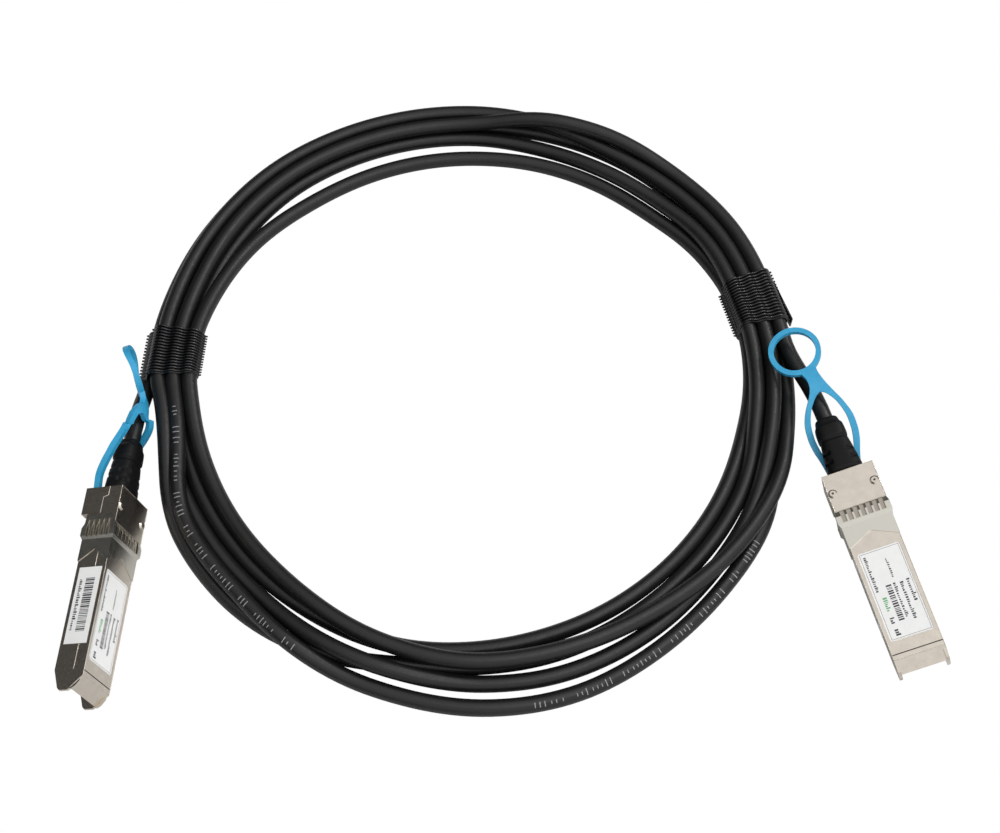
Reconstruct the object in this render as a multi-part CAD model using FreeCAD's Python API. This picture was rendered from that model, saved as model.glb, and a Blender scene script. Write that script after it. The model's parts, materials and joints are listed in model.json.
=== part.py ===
"""Direct attach copper cable: a tied coil of twin-axial cable with a pluggable connector at each end.

Lengths are millimetres and angles are degrees. A connector is drawn in its own frame: x runs
across it, y runs back from the nose towards the cable and z runs up to the label face.
"""
import math
import os

import FreeCAD, Part

V = FreeCAD.Vector

# Fits and clearances
SLIDE_GAP = 0.2          # beside a sliding piece
PIN_GAP = 0.05           # round the pivot pin, on the radius
SHEET = 0.2              # shield sheet
STICKER = 0.12           # label thickness
CUT = 1.0                # how far a cutting block runs past a face

# Cable and coil, measured round the coil's own centre
CABLE_D = 4.55
CABLE_R = CABLE_D / 2
COIL_X, COIL_Y = -10.89, 45.33
COIL_RX, COIL_RY = 77.2, 79.8
COIL_SIDES = 12
# angle, low row z, its inner and outer strand, top row z, its inner and outer strand
COIL_ROWS = [
    (170, 3.5, 5.0, 14.1, 7.45, 2.7, 11.8), (160, 2.9, 5.7, 15.0, 7.0, 2.4, 12.6),
    (152, 2.5, 2.5, 16.1, 6.6, 8.8, 13.7), (145, 2.3, 2.4, 17.0, 6.3, 9.8, 14.6),
    (135, 2.3, 1.8, 18.0, 6.3, 10.9, 15.7), (125, 2.3, 1.0, 18.6, 6.3, 11.5, 16.3),
    (115, 2.3, 0.9, 18.5, 6.3, 11.4, 16.3), (105, 2.3, 0.8, 18.4, 6.4, 11.2, 16.2),
    (97, 2.3, 0.8, 18.2, 6.4, 11.1, 16.0), (90, 2.3, 0.8, 18.1, 6.6, 11.0, 15.8),
    (83, 2.3, 0.9, 18.1, 8.9, 11.3, 15.1), (76, 2.3, 1.1, 18.0, 11.4, 12.0, 13.9),
    (69, 2.3, 1.2, 17.8, 11.0, 12.4, 13.1), (62, 2.3, 1.2, 17.6, 10.1, 11.1, 14.3),
    (55, 2.3, 1.2, 17.3, 8.4, 10.6, 15.0), (48, 2.3, 1.4, 16.9, 7.0, 10.5, 15.4),
    (41, 2.5, 2.5, 16.2, 7.2, 6.6, 15.4), (35, 2.8, 3.5, 15.4, 7.4, 5.9, 15.3),
    (28, 3.2, 4.2, 14.3, 7.8, 5.0, 14.4), (21, 3.5, 4.55, 13.65, 8.05, 4.55, 13.65),
    (10, 3.5, 4.55, 13.65, 8.05, 4.55, 13.65), (8, 3.4, 4.5, 13.65, 8.0, 4.6, 9.1), (5, 3.2, 4.3, 13.7, 7.8, 4.6, 9.2),
    (-2, 2.8, 3.6, 13.7, 7.5, 4.7, 9.3), (-8, 2.5, 2.9, 13.8, 7.5, 4.8, 9.4),
    (-14, 2.3, 2.2, 10.2, 7.4, 5.0, 14.0), (-21, 2.3, 2.0, 12.9, 6.6, 10.2, 14.9),
    (-28, 2.3, 1.9, 15.4, 6.9, 13.0, 14.3), (-36, 2.3, 1.8, 16.0, 6.9, 12.0, 13.2),
    (-44, 2.3, 1.7, 16.4, 6.9, 11.0, 11.9), (-50, 2.3, 1.7, 17.0, 6.6, 10.0, 10.8),
    (-56, 2.3, 1.8, 17.7, 6.3, 9.0, 9.8), (-65, 2.3, 2.0, 19.0, 6.5, 8.6, 9.4),
    (-75, 2.3, 2.4, 20.1, 6.8, 8.2, 9.0), (-82, 2.3, 2.9, 19.9, 6.9, 8.2, 9.0),
    (-90, 2.3, 3.5, 19.3, 6.9, 7.8, 8.8), (-101, 2.3, 4.4, 17.6, 6.8, 6.5, 12.6),
    (-110, 2.3, 4.4, 16.6, 7.0, 5.0, 12.0), (-120, 2.3, 4.2, 14.0, 6.8, 3.0, 15.5),
    (-131, 2.3, 4.3, 15.4, 6.3, 1.5, 13.0), (-140, 2.3, 3.0, 15.3, 6.2, 1.1, 12.6),
    (-150, 2.3, 1.4, 14.8, 6.2, 4.0, 12.1), (-158, 2.4, 4.0, 13.9, 6.7, 1.4, 10.0),
    (-165, 2.5, 5.3, 10.0, 7.2, 1.9, 10.3), (-172, 2.9, 5.3, 10.0, 7.5, 2.4, 9.6), (-177.5, 3.4, 5.1, 9.6, 7.45, 2.6, 10.9),
    (-179.5, 3.5, 5.0, 14.1, 7.45, 2.7, 11.8)]
TIE_BAND = 1.05
LEFT_TIE = (180.5, 170)  # first and last angle
RIGHT_TIE = (21, 10)
GROOVE_GAP = 0.05        # round a lead where it lies on the coil

# Connector body, measured back from the nose
BODY_L = 58.0
TAIL_L = 8.0
NOSE_L = BODY_L - TAIL_L
NOSE_W = 13.6
TAIL_STEP = 0.35         # how far the tail stands out beside the nose
TAIL_W = NOSE_W + 2 * TAIL_STEP
TOP_Z = 10.5
TAIL_TOP_Z = TOP_Z + 0.3
NOSE_Z = 2.0
NOSE_WALL = 1.2
TAIL_WALL = 2.25
REAR_WALL = 1.2
ROOF_Z = 9.3
ROOF_Y = NOSE_L - 2.8    # front edge of the tail's roof
ROOF_LEDGE = 0.7
SEAM_NOSE_Z = 7.4
SEAM_TAIL_Z = 5.7
SEAM_STEP_Z = 7.1
SEAM_STEP_Y = BODY_L - 3.2
SEAM_JOG = 0.5
GROOVE_Y, GROOVE_W, GROOVE_T = 5.0, 0.3, 0.2

# Open nose: a sloped hood between two side walls, over a floor that starts further back
LIP_Y = 0.5
HOOD_Y = 3.7
HOOD_T = 1.4
CHEEK = [(0.3, 2.6), (0.9, 1.7), (2.4, 0.6), (4.2, 0.6)]  # along, drop below the top
CHEEK_T = 0.8
FLOOR_Y = 5.5
FLOOR_Z = 3.4
REAR_FLOOR_Z = 3.7
TIP_Z = 3.8
TIP_CUT = 0.6

# Labels and rivets
LABEL_Y0, LABEL_Y1, LABEL_W = 8.6, NOSE_L - 16.0, 11.6
LABEL_SINK = 0.25
LABEL_R = 0.8
SIDE_LABEL_Y0, SIDE_LABEL_Y1, SIDE_LABEL_H = 12.5, NOSE_L - 15.9, 6.5
RIVET_X, RIVET_Y = TAIL_W / 2 - 1.3, BODY_L - 5.6
RIVET_R, RIVET_HEAD_R, RIVET_HEAD_T = 0.6, 1.3, 0.45

# Latch and pull
CHANNEL_W = 8.2
CHANNEL_Z = 3.1
LEVER_ROOM_Z = 4.75
LEVER_ROOM_Y = (24.5, 38.4)
PULL = 2.2
SLIDER_Z = (2.15, 2.95)
SLIDER_TAIL_Z = (0.5, 1.6)
SLIDER_TAIL_W = 9.2
CROSSBAR_Y = (28.0, 29.0)
CROSSBAR_Z = 2.65
PLATE_Y = NOSE_L - 10.0
STEP_Y = (BODY_L - 7.0, BODY_L - 5.8)
SLIDER_END = BODY_L - 1.0
RAIL_X = 2.3
LEVER_W = 3.8
PIVOT_Y, PIVOT_Z, PIVOT_R = 26.5, 3.05, 0.5
PIVOT_L = 10.0
EYE_R = 0.9
LEVER_SIDE = [(26.2, 2.4), (26.2, 3.4), (36.2, 3.4), (36.2, 2.3), (31.3, 2.3), (29.6, 2.8), (27.0, 2.8)]
BOSS_Y = (33.0, 35.4)
BOSS_W = 2.8
BOSS_Z = 1.1

# Card and cable end
CARD_T = 1.0
CARD_Z = 5.3
CARD_Y = (3.6, NOSE_L - 6.0)
CARD_GAP = 0.1
CARD_REST_Y = (23.0, CARD_Y[1] - 4.5)
CONTACTS, CONTACT_PITCH, CONTACT_W, CONTACT_T = 10, 0.9, 0.55, 0.05
CONTACT_Y = (CARD_Y[0] + 0.3, CARD_Y[0] + 5.0)
CHIP_Y, CHIP_SIZE, CHIP_H = 17.0, 3.2, 0.8
BLOCK_Y, BLOCK_W, BLOCK_H = CARD_Y[1] - 6.0, 9.0, 1.9
CABLE_Z = 6.1
WIRES, WIRE_D, WIRE_PITCH = 4, 0.9, 1.0
WIRE_Z = 6.6
FERRULE_Y = (BODY_L - 7.4, BODY_L - 2.8)
FERRULE_R = 2.35
FLANGE_W, FLANGE_H, FLANGE_Y = 9.2, 6.2, BODY_L - REAR_WALL - SLIDE_GAP
NECK_R = 3.3

# Strain relief sections: distance beyond the body, width, height
BOOT = [(0.0, 10.2, 7.4), (11.2, 7.6, 6.4)]
COLLAR = [(11.2, 8.0, 6.8), (15.2, 7.8, 6.6), (17.5, 6.0, 5.4)]
BOOT_CORNER = 1.4
NOTCH_Y, NOTCH_W, NOTCH_PITCH, NOTCH_ROWS = 3.4, 1.1, 2.9, 2
NOTCH_X, NOTCH_Z = 2.8, 0.9

# Spring shield: distance ahead of the tail, height of its outer skin over the body
SHIELD = [(13.8, 0.2), (7.6, 0.2), (6.7, 0.7), (4.4, 0.7), (2.9, 0.3), (0.1, 0.2)]
SHIELD_NOTCH_Y = NOSE_L - 10.6
SHIELD_NOTCH_MARGIN = 0.15
SHIELD_GAP = 0.05
WIDE_WINDOW_Y = NOSE_L - 6.4
WIDE_WINDOWS, WIDE_PITCH, WIDE_W = 7, 1.8, 1.25
SIDE_WINDOW_Y = (NOSE_L - 6.9, NOSE_L - 1.8)
SIDE_WINDOWS, SIDE_PITCH, SIDE_W = 5, 1.5, 1.0

# Pull tab: half width outside and inside against the distance along it from the slider
TAB_OUTER = [(0.0, 4.5), (3.0, 4.6), (6.0, 5.0), (9.3, 5.8), (12.0, 6.6), (15.3, 7.05), (19.2, 6.8), (23.0, 5.4),
             (26.8, 3.3), (29.3, 2.25), (31.8, 1.95), (33.7, 2.3)]
TAB_INNER = [(0.0, 2.9), (3.0, 3.0), (6.0, 3.4), (9.3, 4.1), (12.0, 4.8), (15.3, 5.3), (19.2, 5.1), (23.0, 3.8),
             (25.3, 2.3), (26.5, 1.1), (27.1, 0.0)]
RING_AT, RING_R, RING_HOLE_R = 40.6, 7.3, 5.85
RING_STEPS = 9
RING_TIP = 0.1
TAB_THICK = [(0.0, 1.1), (1.5, 1.1), (4.0, 1.6), (49.0, 1.6)]
TAB_STEP = 0.5
# Distance along, then x, y beyond the slider and z of the middle line, and the twist about it
TAB_LINE_A = [(0, 0, 0, 1.05, 0), (1, 0, 1, 1.05, 0), (3, -0.1, 3, 1.1, 0), (7, -0.7, 7, 1.4, -4),
              (13, -1.1, 12.8, 3.3, -14), (19, -1.2, 18.3, 6.0, -12), (22, -1.4, 21.0, 7.5, -4),
              (24.2, -2.3, 23.2, 8.8, 6), (25.3, -3.2, 24.2, 9.2, 8), (27, -3.3, 25.9, 9.5, 4),
              (29.3, -2.8, 28.1, 9.6, -10), (31.8, -3.0, 30.4, 9.3, -16), (35, -4.4, 33.3, 8.3, -20),
              (40.6, -7.0, 38.1, 6.9, -19), (49, -10.8, 45.3, 5.0, -4)]
TAB_LINE_B = [(0, 0, 0, 1.05, 0), (1, 0, 1, 1.05, 0), (3, 0.1, 3, 1.1, 0), (7, 0.3, 7, 1.4, 0),
              (13, 0.6, 12.8, 3.4, 0), (19, 0.8, 18.3, 6.3, 0), (27, 1.2, 25.8, 9.9, 0),
              (31, 0.8, 29.7, 11.1, 0), (40.6, -1.4, 39.2, 11.8, 0), (49, -2.8, 47.5, 12.1, 0)]

# Where each connector lies: nose x and y from the coil's centre, yaw, pitch, roll
POSE_A = (-103.9, -99.4, -3.6, -1.5, 72.9)
POSE_B = (120.0, -89.9, 14.4, 1.5, -15.0)

# Cable leads between coil and connector, from the coil's centre
LEAD_A = [(-92.2, -7.0, 4.4)]
LEAD_B = [(90.9, 5.5, 7.95)]
MIN_BEND = 3.0           # cable diameters
EXIT_L = 8.5
CORNER_SHARE = 0.45      # of the shorter run, taken up by the bend at its end


def box(x0, x1, y0, y1, z0, z1):
    """Return a block between the given limits."""
    return Part.makeBox(x1 - x0, y1 - y0, z1 - z0, V(x0, y0, z0))


def wide(width, y0, y1, z0, z1):
    """Return a block centred on the connector's middle plane."""
    return box(-width / 2, width / 2, y0, y1, z0, z1)


def side_prism(outline, x0, x1):
    """Return the y, z outline extruded across from x0 to x1."""
    wire = Part.makePolygon([V(x0, y, z) for y, z in outline + outline[:1]])
    return Part.Face(wire).extrude(V(x1 - x0, 0, 0))


def rod(radius, y0, y1, x, z):
    """Return a round rod along y."""
    return Part.makeCylinder(radius, y1 - y0, V(x, y0, z), V(0, 1, 0))


def smooth(table, at):
    """Read a table of (distance, values...) at a distance, with a smooth curve that never overshoots."""
    last = len(table) - 2
    i = max(k for k in range(last + 1) if k == 0 or table[k][0] <= at)
    before = table[max(i - 1, 0)]
    here = table[i]
    there = table[i + 1]
    after = table[min(i + 2, last + 1)]
    span = there[0] - here[0]
    t = min(max((at - here[0]) / span, 0.0), 1.0)
    values = []
    for p, a, b, n in zip(before[1:], here[1:], there[1:], after[1:]):
        slope = (b - a) / span
        start = limited((b - p) / (there[0] - before[0]), slope)
        end = limited((n - a) / (after[0] - here[0]), slope)
        values.append((2 * t ** 3 - 3 * t ** 2 + 1) * a + (t ** 3 - 2 * t ** 2 + t) * span * start
                      + (3 * t ** 2 - 2 * t ** 3) * b + (t ** 3 - t ** 2) * span * end)
    return values


def limited(tangent, slope):
    """Hold a tangent between level and three times the straight slope."""
    if tangent * slope <= 0:
        return 0.0
    return math.copysign(min(abs(tangent), 3 * abs(slope)), slope)


def solid_from(triangles):
    """Sew flat triangles into one solid."""
    faces = [Part.Face(Part.makePolygon([a, b, c, a])) for a, b, c in triangles]
    shell = Part.makeShell(faces)
    shell.sewShape()
    solid = Part.makeSolid(shell)
    if solid.Volume < 0:
        solid.reverse()
    return solid


def strip(first, second):
    """Return the triangles between two equal rows of points."""
    triangles = []
    for i in range(len(first) - 1):
        triangles.append((first[i], first[i + 1], second[i + 1]))
        triangles.append((first[i], second[i + 1], second[i]))
    return triangles


def coil_point(angle, out, z):
    """Return the point at an angle round the coil, a distance outside its inner edge."""
    c = math.cos(math.radians(angle))
    s = math.sin(math.radians(angle))
    inner = 1 / math.hypot(c / COIL_RX, s / COIL_RY)
    return V(COIL_X + (inner + out) * c, COIL_Y + (inner + out) * s, z)


def coil_section(row, grow=0.0):
    """Return the closed outline round one station's strands."""
    angle, low_z, low_in, low_out, top_z, top_in, top_out = row
    strands = [(low_in, low_z), (low_out, low_z), (top_in, top_z), (top_out, top_z)]
    step = 2 * math.pi / COIL_SIDES
    reach = []
    for k in range(COIL_SIDES):
        c, s = math.cos(k * step), math.sin(k * step)
        reach.append(max(r * c + z * s for r, z in strands) + CABLE_R + grow)
    points = []
    for k in range(COIL_SIDES):
        a, b = reach[k], reach[(k + 1) % COIL_SIDES]
        t = k * step
        out = (a * math.sin(t + step) - b * math.sin(t)) / math.sin(step)
        z = (b * math.cos(t) - a * math.cos(t + step)) / math.sin(step)
        points.append(coil_point(angle, out, z))
    return points + points[:1]


def coil():
    """Return the outer shape of the coil, closed in a ring."""
    sections = [coil_section(row) for row in COIL_ROWS]
    triangles = []
    for first, second in zip(sections, sections[1:] + sections[:1]):
        triangles += strip(first, second)
    return solid_from(triangles)


def tie(angles, row):
    """Return one cable tie: a band round the bundle between two angles."""
    inner = [coil_section((angle,) + row[1:]) for angle in angles]
    outer = [coil_section((angle,) + row[1:], TIE_BAND) for angle in angles]
    triangles = strip(outer[0], outer[1]) + strip(inner[1], inner[0])
    triangles += strip(inner[0], outer[0]) + strip(outer[1], inner[1])
    return solid_from(triangles)


def top_shell():
    """Return the upper casting: sloped hood, roof, side cheeks, label recess and rivet holes."""
    half = NOSE_W / 2
    hood = [(LIP_Y, SEAM_NOSE_Z), (HOOD_Y, TOP_Z), (NOSE_L, TOP_Z), (NOSE_L, SEAM_NOSE_Z)]
    cheek = [(CHEEK[0][0], SEAM_NOSE_Z)] + [(y, TOP_Z - drop) for y, drop in CHEEK] + [(CHEEK[-1][0], SEAM_NOSE_Z)]
    tail = [(NOSE_L, SEAM_TAIL_Z), (NOSE_L, TOP_Z - ROOF_LEDGE), (ROOF_Y, TOP_Z - ROOF_LEDGE), (ROOF_Y, TAIL_TOP_Z),
            (BODY_L, TAIL_TOP_Z), (BODY_L, SEAM_STEP_Z), (SEAM_STEP_Y + SEAM_JOG, SEAM_STEP_Z),
            (SEAM_STEP_Y, SEAM_TAIL_Z)]
    tail_block = side_prism(tail, -TAIL_W / 2, TAIL_W / 2)
    roof_start = LIP_Y + HOOD_T
    roof_bend = roof_start + (ROOF_Z - SEAM_NOSE_Z) * (HOOD_Y - LIP_Y) / (TOP_Z - SEAM_NOSE_Z)
    room = [(roof_start, SEAM_TAIL_Z - CUT), (roof_start, SEAM_NOSE_Z), (roof_bend, ROOF_Z), (NOSE_L, ROOF_Z),
            (NOSE_L, SEAM_TAIL_Z - CUT)]
    inside = half - NOSE_WALL
    cuts = [side_prism(room, -inside, inside),
            wide(TAIL_W - 2 * TAIL_WALL, NOSE_L, BODY_L - REAR_WALL, SEAM_TAIL_Z - CUT, ROOF_Z),
            rod(NECK_R + PIN_GAP, BODY_L - REAR_WALL - CUT, BODY_L + CUT, 0, CABLE_Z),
            wide(NOSE_W + CUT, GROOVE_Y, GROOVE_Y + GROOVE_W, TOP_Z - GROOVE_T, TOP_Z + CUT),
            label_block(TOP_Z - LABEL_SINK, LABEL_SINK + CUT)] + rivet_holes()
    shell = side_prism(hood, -half, half).cut(Part.makeCompound(cuts)).fuse(
        [tail_block.cut(Part.makeCompound(cuts))] + cheeks(cheek))
    return shell.removeSplitter()


def cheeks(outline):
    """Return the y, z outline as a thin wall on each side of the nose."""
    half = NOSE_W / 2
    return [side_prism(outline, half - CHEEK_T, half), side_prism(outline, -half, CHEEK_T - half)]


def label_block(z, height):
    """Return a block with the main label's outline and rounded corners."""
    block = wide(LABEL_W, LABEL_Y0, LABEL_Y1, z, z + height)
    upright = [e for e in block.Edges if abs(e.tangentAt(e.FirstParameter).z) > 0.9]
    return block.makeFillet(LABEL_R, upright)


def rivet_holes():
    """Return the two rivet shanks as cutting rods."""
    return [Part.makeCylinder(RIVET_R, TAIL_TOP_Z, V(x, RIVET_Y, 0)) for x in (-RIVET_X, RIVET_X)]


def rivets():
    """Return both rivets: a shank through the two castings and a low domed head."""
    pair = []
    for x, shank in zip((-RIVET_X, RIVET_X), rivet_holes()):
        head = Part.makeCone(RIVET_HEAD_R, RIVET_HEAD_R - RIVET_HEAD_T, RIVET_HEAD_T, V(x, RIVET_Y, TAIL_TOP_Z))
        pair.append(shank.fuse(head))
    return Part.makeCompound(pair)


def bottom_shell():
    """Return the lower casting: card shelf, latch channel below and the slider's tail pocket."""
    nose = wide(NOSE_W, FLOOR_Y, NOSE_L, NOSE_Z, SEAM_NOSE_Z)
    wall = [(FLOOR_Y, NOSE_Z), (TIP_CUT, TIP_Z), (0, TIP_Z + TIP_CUT), (0, SEAM_NOSE_Z - TIP_CUT),
            (LIP_Y, SEAM_NOSE_Z), (FLOOR_Y, SEAM_NOSE_Z)]
    tail = [(NOSE_L, 0), (NOSE_L, SEAM_TAIL_Z), (SEAM_STEP_Y, SEAM_TAIL_Z),
            (SEAM_STEP_Y + SEAM_JOG, SEAM_STEP_Z), (BODY_L, SEAM_STEP_Z), (BODY_L, 0)]
    shell = nose.fuse(cheeks(wall) + [side_prism(tail, -TAIL_W / 2, TAIL_W / 2)])
    inside = NOSE_W - 2 * NOSE_WALL
    tail_inside = TAIL_W - 2 * TAIL_WALL
    pocket_w = SLIDER_TAIL_W + 2 * SLIDE_GAP
    step_room = STEP_Y[1] + PULL + SLIDE_GAP
    shelf = CARD_REST_Y
    cuts = [wide(inside, FLOOR_Y, shelf[0], FLOOR_Z, TOP_Z),
            wide(inside, shelf[0], shelf[1], CARD_Z, TOP_Z),
            wide(inside, shelf[1], NOSE_L, REAR_FLOOR_Z, TOP_Z),
            wide(tail_inside, NOSE_L, FERRULE_Y[1] - SLIDE_GAP, REAR_FLOOR_Z, TOP_Z),
            wide(tail_inside, FERRULE_Y[1] - SLIDE_GAP, BODY_L - REAR_WALL, CABLE_Z - FLANGE_H / 2, TOP_Z),
            rod(NECK_R + PIN_GAP, BODY_L - REAR_WALL - CUT, BODY_L + CUT, 0, CABLE_Z),
            wide(CHANNEL_W, LEVER_ROOM_Y[0], NOSE_L, NOSE_Z - CUT, CHANNEL_Z),
            wide(CHANNEL_W, LEVER_ROOM_Y[0], LEVER_ROOM_Y[1], NOSE_Z - CUT, LEVER_ROOM_Z),
            wide(pocket_w, NOSE_L, step_room, -CUT, CHANNEL_Z),
            wide(pocket_w, step_room, BODY_L + CUT, -CUT, SLIDER_TAIL_Z[1] + SLIDE_GAP),
            pin(PIVOT_R)] + rivet_holes()
    return shell.cut(Part.makeCompound(cuts)).removeSplitter()


def pin(radius):
    """Return a rod on the lever's pivot axis."""
    return Part.makeCylinder(radius, PIVOT_L, V(-PIVOT_L / 2, PIVOT_Y, PIVOT_Z), V(1, 0, 0))


def latch_lever():
    """Return the rocking latch: a bored eye, an arm with a lifting ramp and the triangular boss."""
    arm = side_prism(LEVER_SIDE, -LEVER_W / 2, LEVER_W / 2)
    eye = Part.makeCylinder(EYE_R, LEVER_W, V(-LEVER_W / 2, PIVOT_Y, PIVOT_Z), V(1, 0, 0))
    plan = [V(0, BOSS_Y[0], BOSS_Z), V(BOSS_W / 2, BOSS_Y[1], BOSS_Z), V(-BOSS_W / 2, BOSS_Y[1], BOSS_Z)]
    boss = Part.Face(Part.makePolygon(plan + plan[:1])).extrude(V(0, 0, LEVER_SIDE[3][1] - BOSS_Z))
    return arm.fuse([eye, boss]).cut(pin(PIVOT_R + PIN_GAP)).removeSplitter()


def release_slider():
    """Return the slide: two rails and a crossbar under the lever, a plate, and a dropped tail."""
    width = CHANNEL_W - 2 * SLIDE_GAP
    low, high = SLIDER_Z
    frame = wide(width, CROSSBAR_Y[1], STEP_Y[1], low, high)
    frame = frame.cut(wide(2 * RAIL_X, CROSSBAR_Y[1] - CUT, PLATE_Y, low - CUT, high + CUT))
    crossbar = wide(width, CROSSBAR_Y[0], CROSSBAR_Y[1], low, CROSSBAR_Z)
    step = wide(width, STEP_Y[0], STEP_Y[1], SLIDER_TAIL_Z[0], high)
    foot = wide(SLIDER_TAIL_W, STEP_Y[0], SLIDER_END, SLIDER_TAIL_Z[0], SLIDER_TAIL_Z[1])
    return frame.fuse([crossbar, step, foot]).removeSplitter()


def shield_skin(sink):
    """Return the shield's outer form, or with a sink its inner one, as stacked frusta."""
    loops = []
    for ahead, height in SHIELD:
        x = NOSE_W / 2 + height - sink
        low, high = NOSE_Z - height + sink, TOP_Z + height - sink
        corners = [V(-x, NOSE_L - ahead, z) for z in (low, high)] + [V(x, NOSE_L - ahead, z) for z in (high, low)]
        loops.append(Part.makePolygon(corners + corners[:1]))
    return Part.makeLoft(loops, True, True)


def emi_shield():
    """Return the spring shield: a folded sheet with a notched front edge and rows of windows."""
    sheet = shield_skin(0).cut(shield_skin(SHEET))
    mid = (NOSE_Z + TOP_Z) / 2
    front = NOSE_L - SHIELD[0][0]
    reach = NOSE_W / 2 - SHIELD_NOTCH_MARGIN
    rise = (TOP_Z - NOSE_Z) / 2 - SHIELD_NOTCH_MARGIN
    flat = [V(-reach, front, -CUT), V(reach, front, -CUT), V(0, SHIELD_NOTCH_Y, -CUT)]
    notch = Part.Face(Part.makePolygon(flat + flat[:1])).extrude(V(0, 0, TOP_Z + 3 * CUT))
    side = [(front, mid - rise), (front, mid + rise), (SHIELD_NOTCH_Y, mid)]
    ledge_room = TOP_Z - ROOF_LEDGE - SHIELD_GAP
    cuts = [notch, side_prism(side, -TAIL_W, TAIL_W),
            wide(2 * TAIL_W, ROOF_Y - SHIELD_GAP, NOSE_L + CUT, ledge_room, TAIL_TOP_Z + CUT)]
    for k in range(WIDE_WINDOWS):
        x = (k - (WIDE_WINDOWS - 1) / 2) * WIDE_PITCH
        cuts.append(box(x - WIDE_W / 2, x + WIDE_W / 2, WIDE_WINDOW_Y, ROOF_Y, -CUT, TAIL_TOP_Z + CUT))
    for k in range(SIDE_WINDOWS):
        z = mid + (k - (SIDE_WINDOWS - 1) / 2) * SIDE_PITCH
        cuts.append(box(-TAIL_W, TAIL_W, *SIDE_WINDOW_Y, z - SIDE_W / 2, z + SIDE_W / 2))
    return sheet.cut(cuts)


def edge_contacts():
    """Return the gold edge contacts on both faces of the card."""
    pads = []
    for k in range(CONTACTS):
        x = (k - (CONTACTS - 1) / 2) * CONTACT_PITCH
        for z in (CARD_Z - CONTACT_T, CARD_Z + CARD_T):
            pads.append(box(x - CONTACT_W / 2, x + CONTACT_W / 2, *CONTACT_Y, z, z + CONTACT_T))
    return Part.makeCompound(pads)


def twinax_wires():
    """Return the four wire cores between the solder block and the ferrule."""
    offsets = [(k - (WIRES - 1) / 2) * WIRE_PITCH for k in range(WIRES)]
    return Part.makeCompound([rod(WIRE_D / 2, CARD_Y[1], FERRULE_Y[0], x, WIRE_Z) for x in offsets])


def boot_section(y, width, height):
    """Return one closed outline of the strain relief, with its corners cut."""
    x, z, c = width / 2, height / 2, BOOT_CORNER
    ring = [(-x + c, -z), (x - c, -z), (x, -z + c), (x, z - c), (x - c, z), (-x + c, z), (-x, z - c), (-x, -z + c)]
    return Part.makePolygon([V(a, BODY_L + y, CABLE_Z + b) for a, b in ring + ring[:1]])


def strain_relief():
    """Return the moulded boot: a flange inside the tail, a neck, the notched taper and its collar."""
    taper = Part.makeLoft([boot_section(*row) for row in BOOT], True, True)
    collar = Part.makeLoft([boot_section(*row) for row in COLLAR], True, True)
    half_w, half_h = BOOT[0][1] / 2, BOOT[0][2] / 2
    cuts = []
    for k in range(NOTCH_ROWS):
        y = BODY_L + NOTCH_Y + k * NOTCH_PITCH
        low_y = y + NOTCH_PITCH / 2
        for x0, x1 in ((-half_w, -NOTCH_X), (NOTCH_X, half_w)):
            cuts.append(box(x0, x1, y, y + NOTCH_W, CABLE_Z + NOTCH_Z, CABLE_Z + half_h))
            cuts.append(box(x0, x1, low_y, low_y + NOTCH_W, CABLE_Z - half_h, CABLE_Z - NOTCH_Z))
    flange = wide(FLANGE_W, FERRULE_Y[1], FLANGE_Y, CABLE_Z - FLANGE_H / 2, CABLE_Z + FLANGE_H / 2)
    neck = rod(NECK_R, FLANGE_Y, BODY_L, 0, CABLE_Z)
    return taper.cut(cuts).fuse([collar, flange, neck]).removeSplitter()


def boot_end():
    """Return the y of the strain relief's end face."""
    return BODY_L + COLLAR[-1][0]


def half_widths(at):
    """Return the pull tab's outer and inner half width at a distance along it."""
    along = at - RING_AT
    ring = math.sqrt(max(RING_R ** 2 - along ** 2, 0.0))
    hole = math.sqrt(max(RING_HOLE_R ** 2 - along ** 2, 0.0))
    outer = smooth(TAB_OUTER, at)[0] if at < TAB_OUTER[-1][0] else ring
    inner = smooth(TAB_INNER, at)[0] if at < TAB_INNER[-1][0] else hole
    return outer, inner


def tab_stations():
    """Return the distances along the tab at which it is drawn."""
    marks = {row[0] for row in TAB_OUTER + TAB_INNER}
    for k in range(1, RING_STEPS):
        turn = math.pi * k / RING_STEPS
        marks.add(round(RING_AT - RING_R * math.cos(turn), 3))
        marks.add(round(RING_AT - RING_HOLE_R * math.cos(turn), 3))
    marks |= {RING_AT - RING_HOLE_R, RING_AT + RING_HOLE_R, RING_AT + RING_R - RING_TIP}
    return sorted(marks)


def tab_frame(line, at):
    """Return the middle point, the width direction and the thickness direction at a distance."""
    x, y, z, twist = smooth(line, at)
    ahead, behind = smooth(line, at + TAB_STEP), smooth(line, at - TAB_STEP)
    way = V(*[a - b for a, b in zip(ahead[:3], behind[:3])]).normalize()
    across = V(1, 0, 0) - way * way.x
    across.normalize()
    up = across.cross(way)
    turn = math.radians(twist)
    side = across * math.cos(turn) + up * math.sin(turn)
    return V(x, SLIDER_END + y, z), side, side.cross(way)


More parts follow.
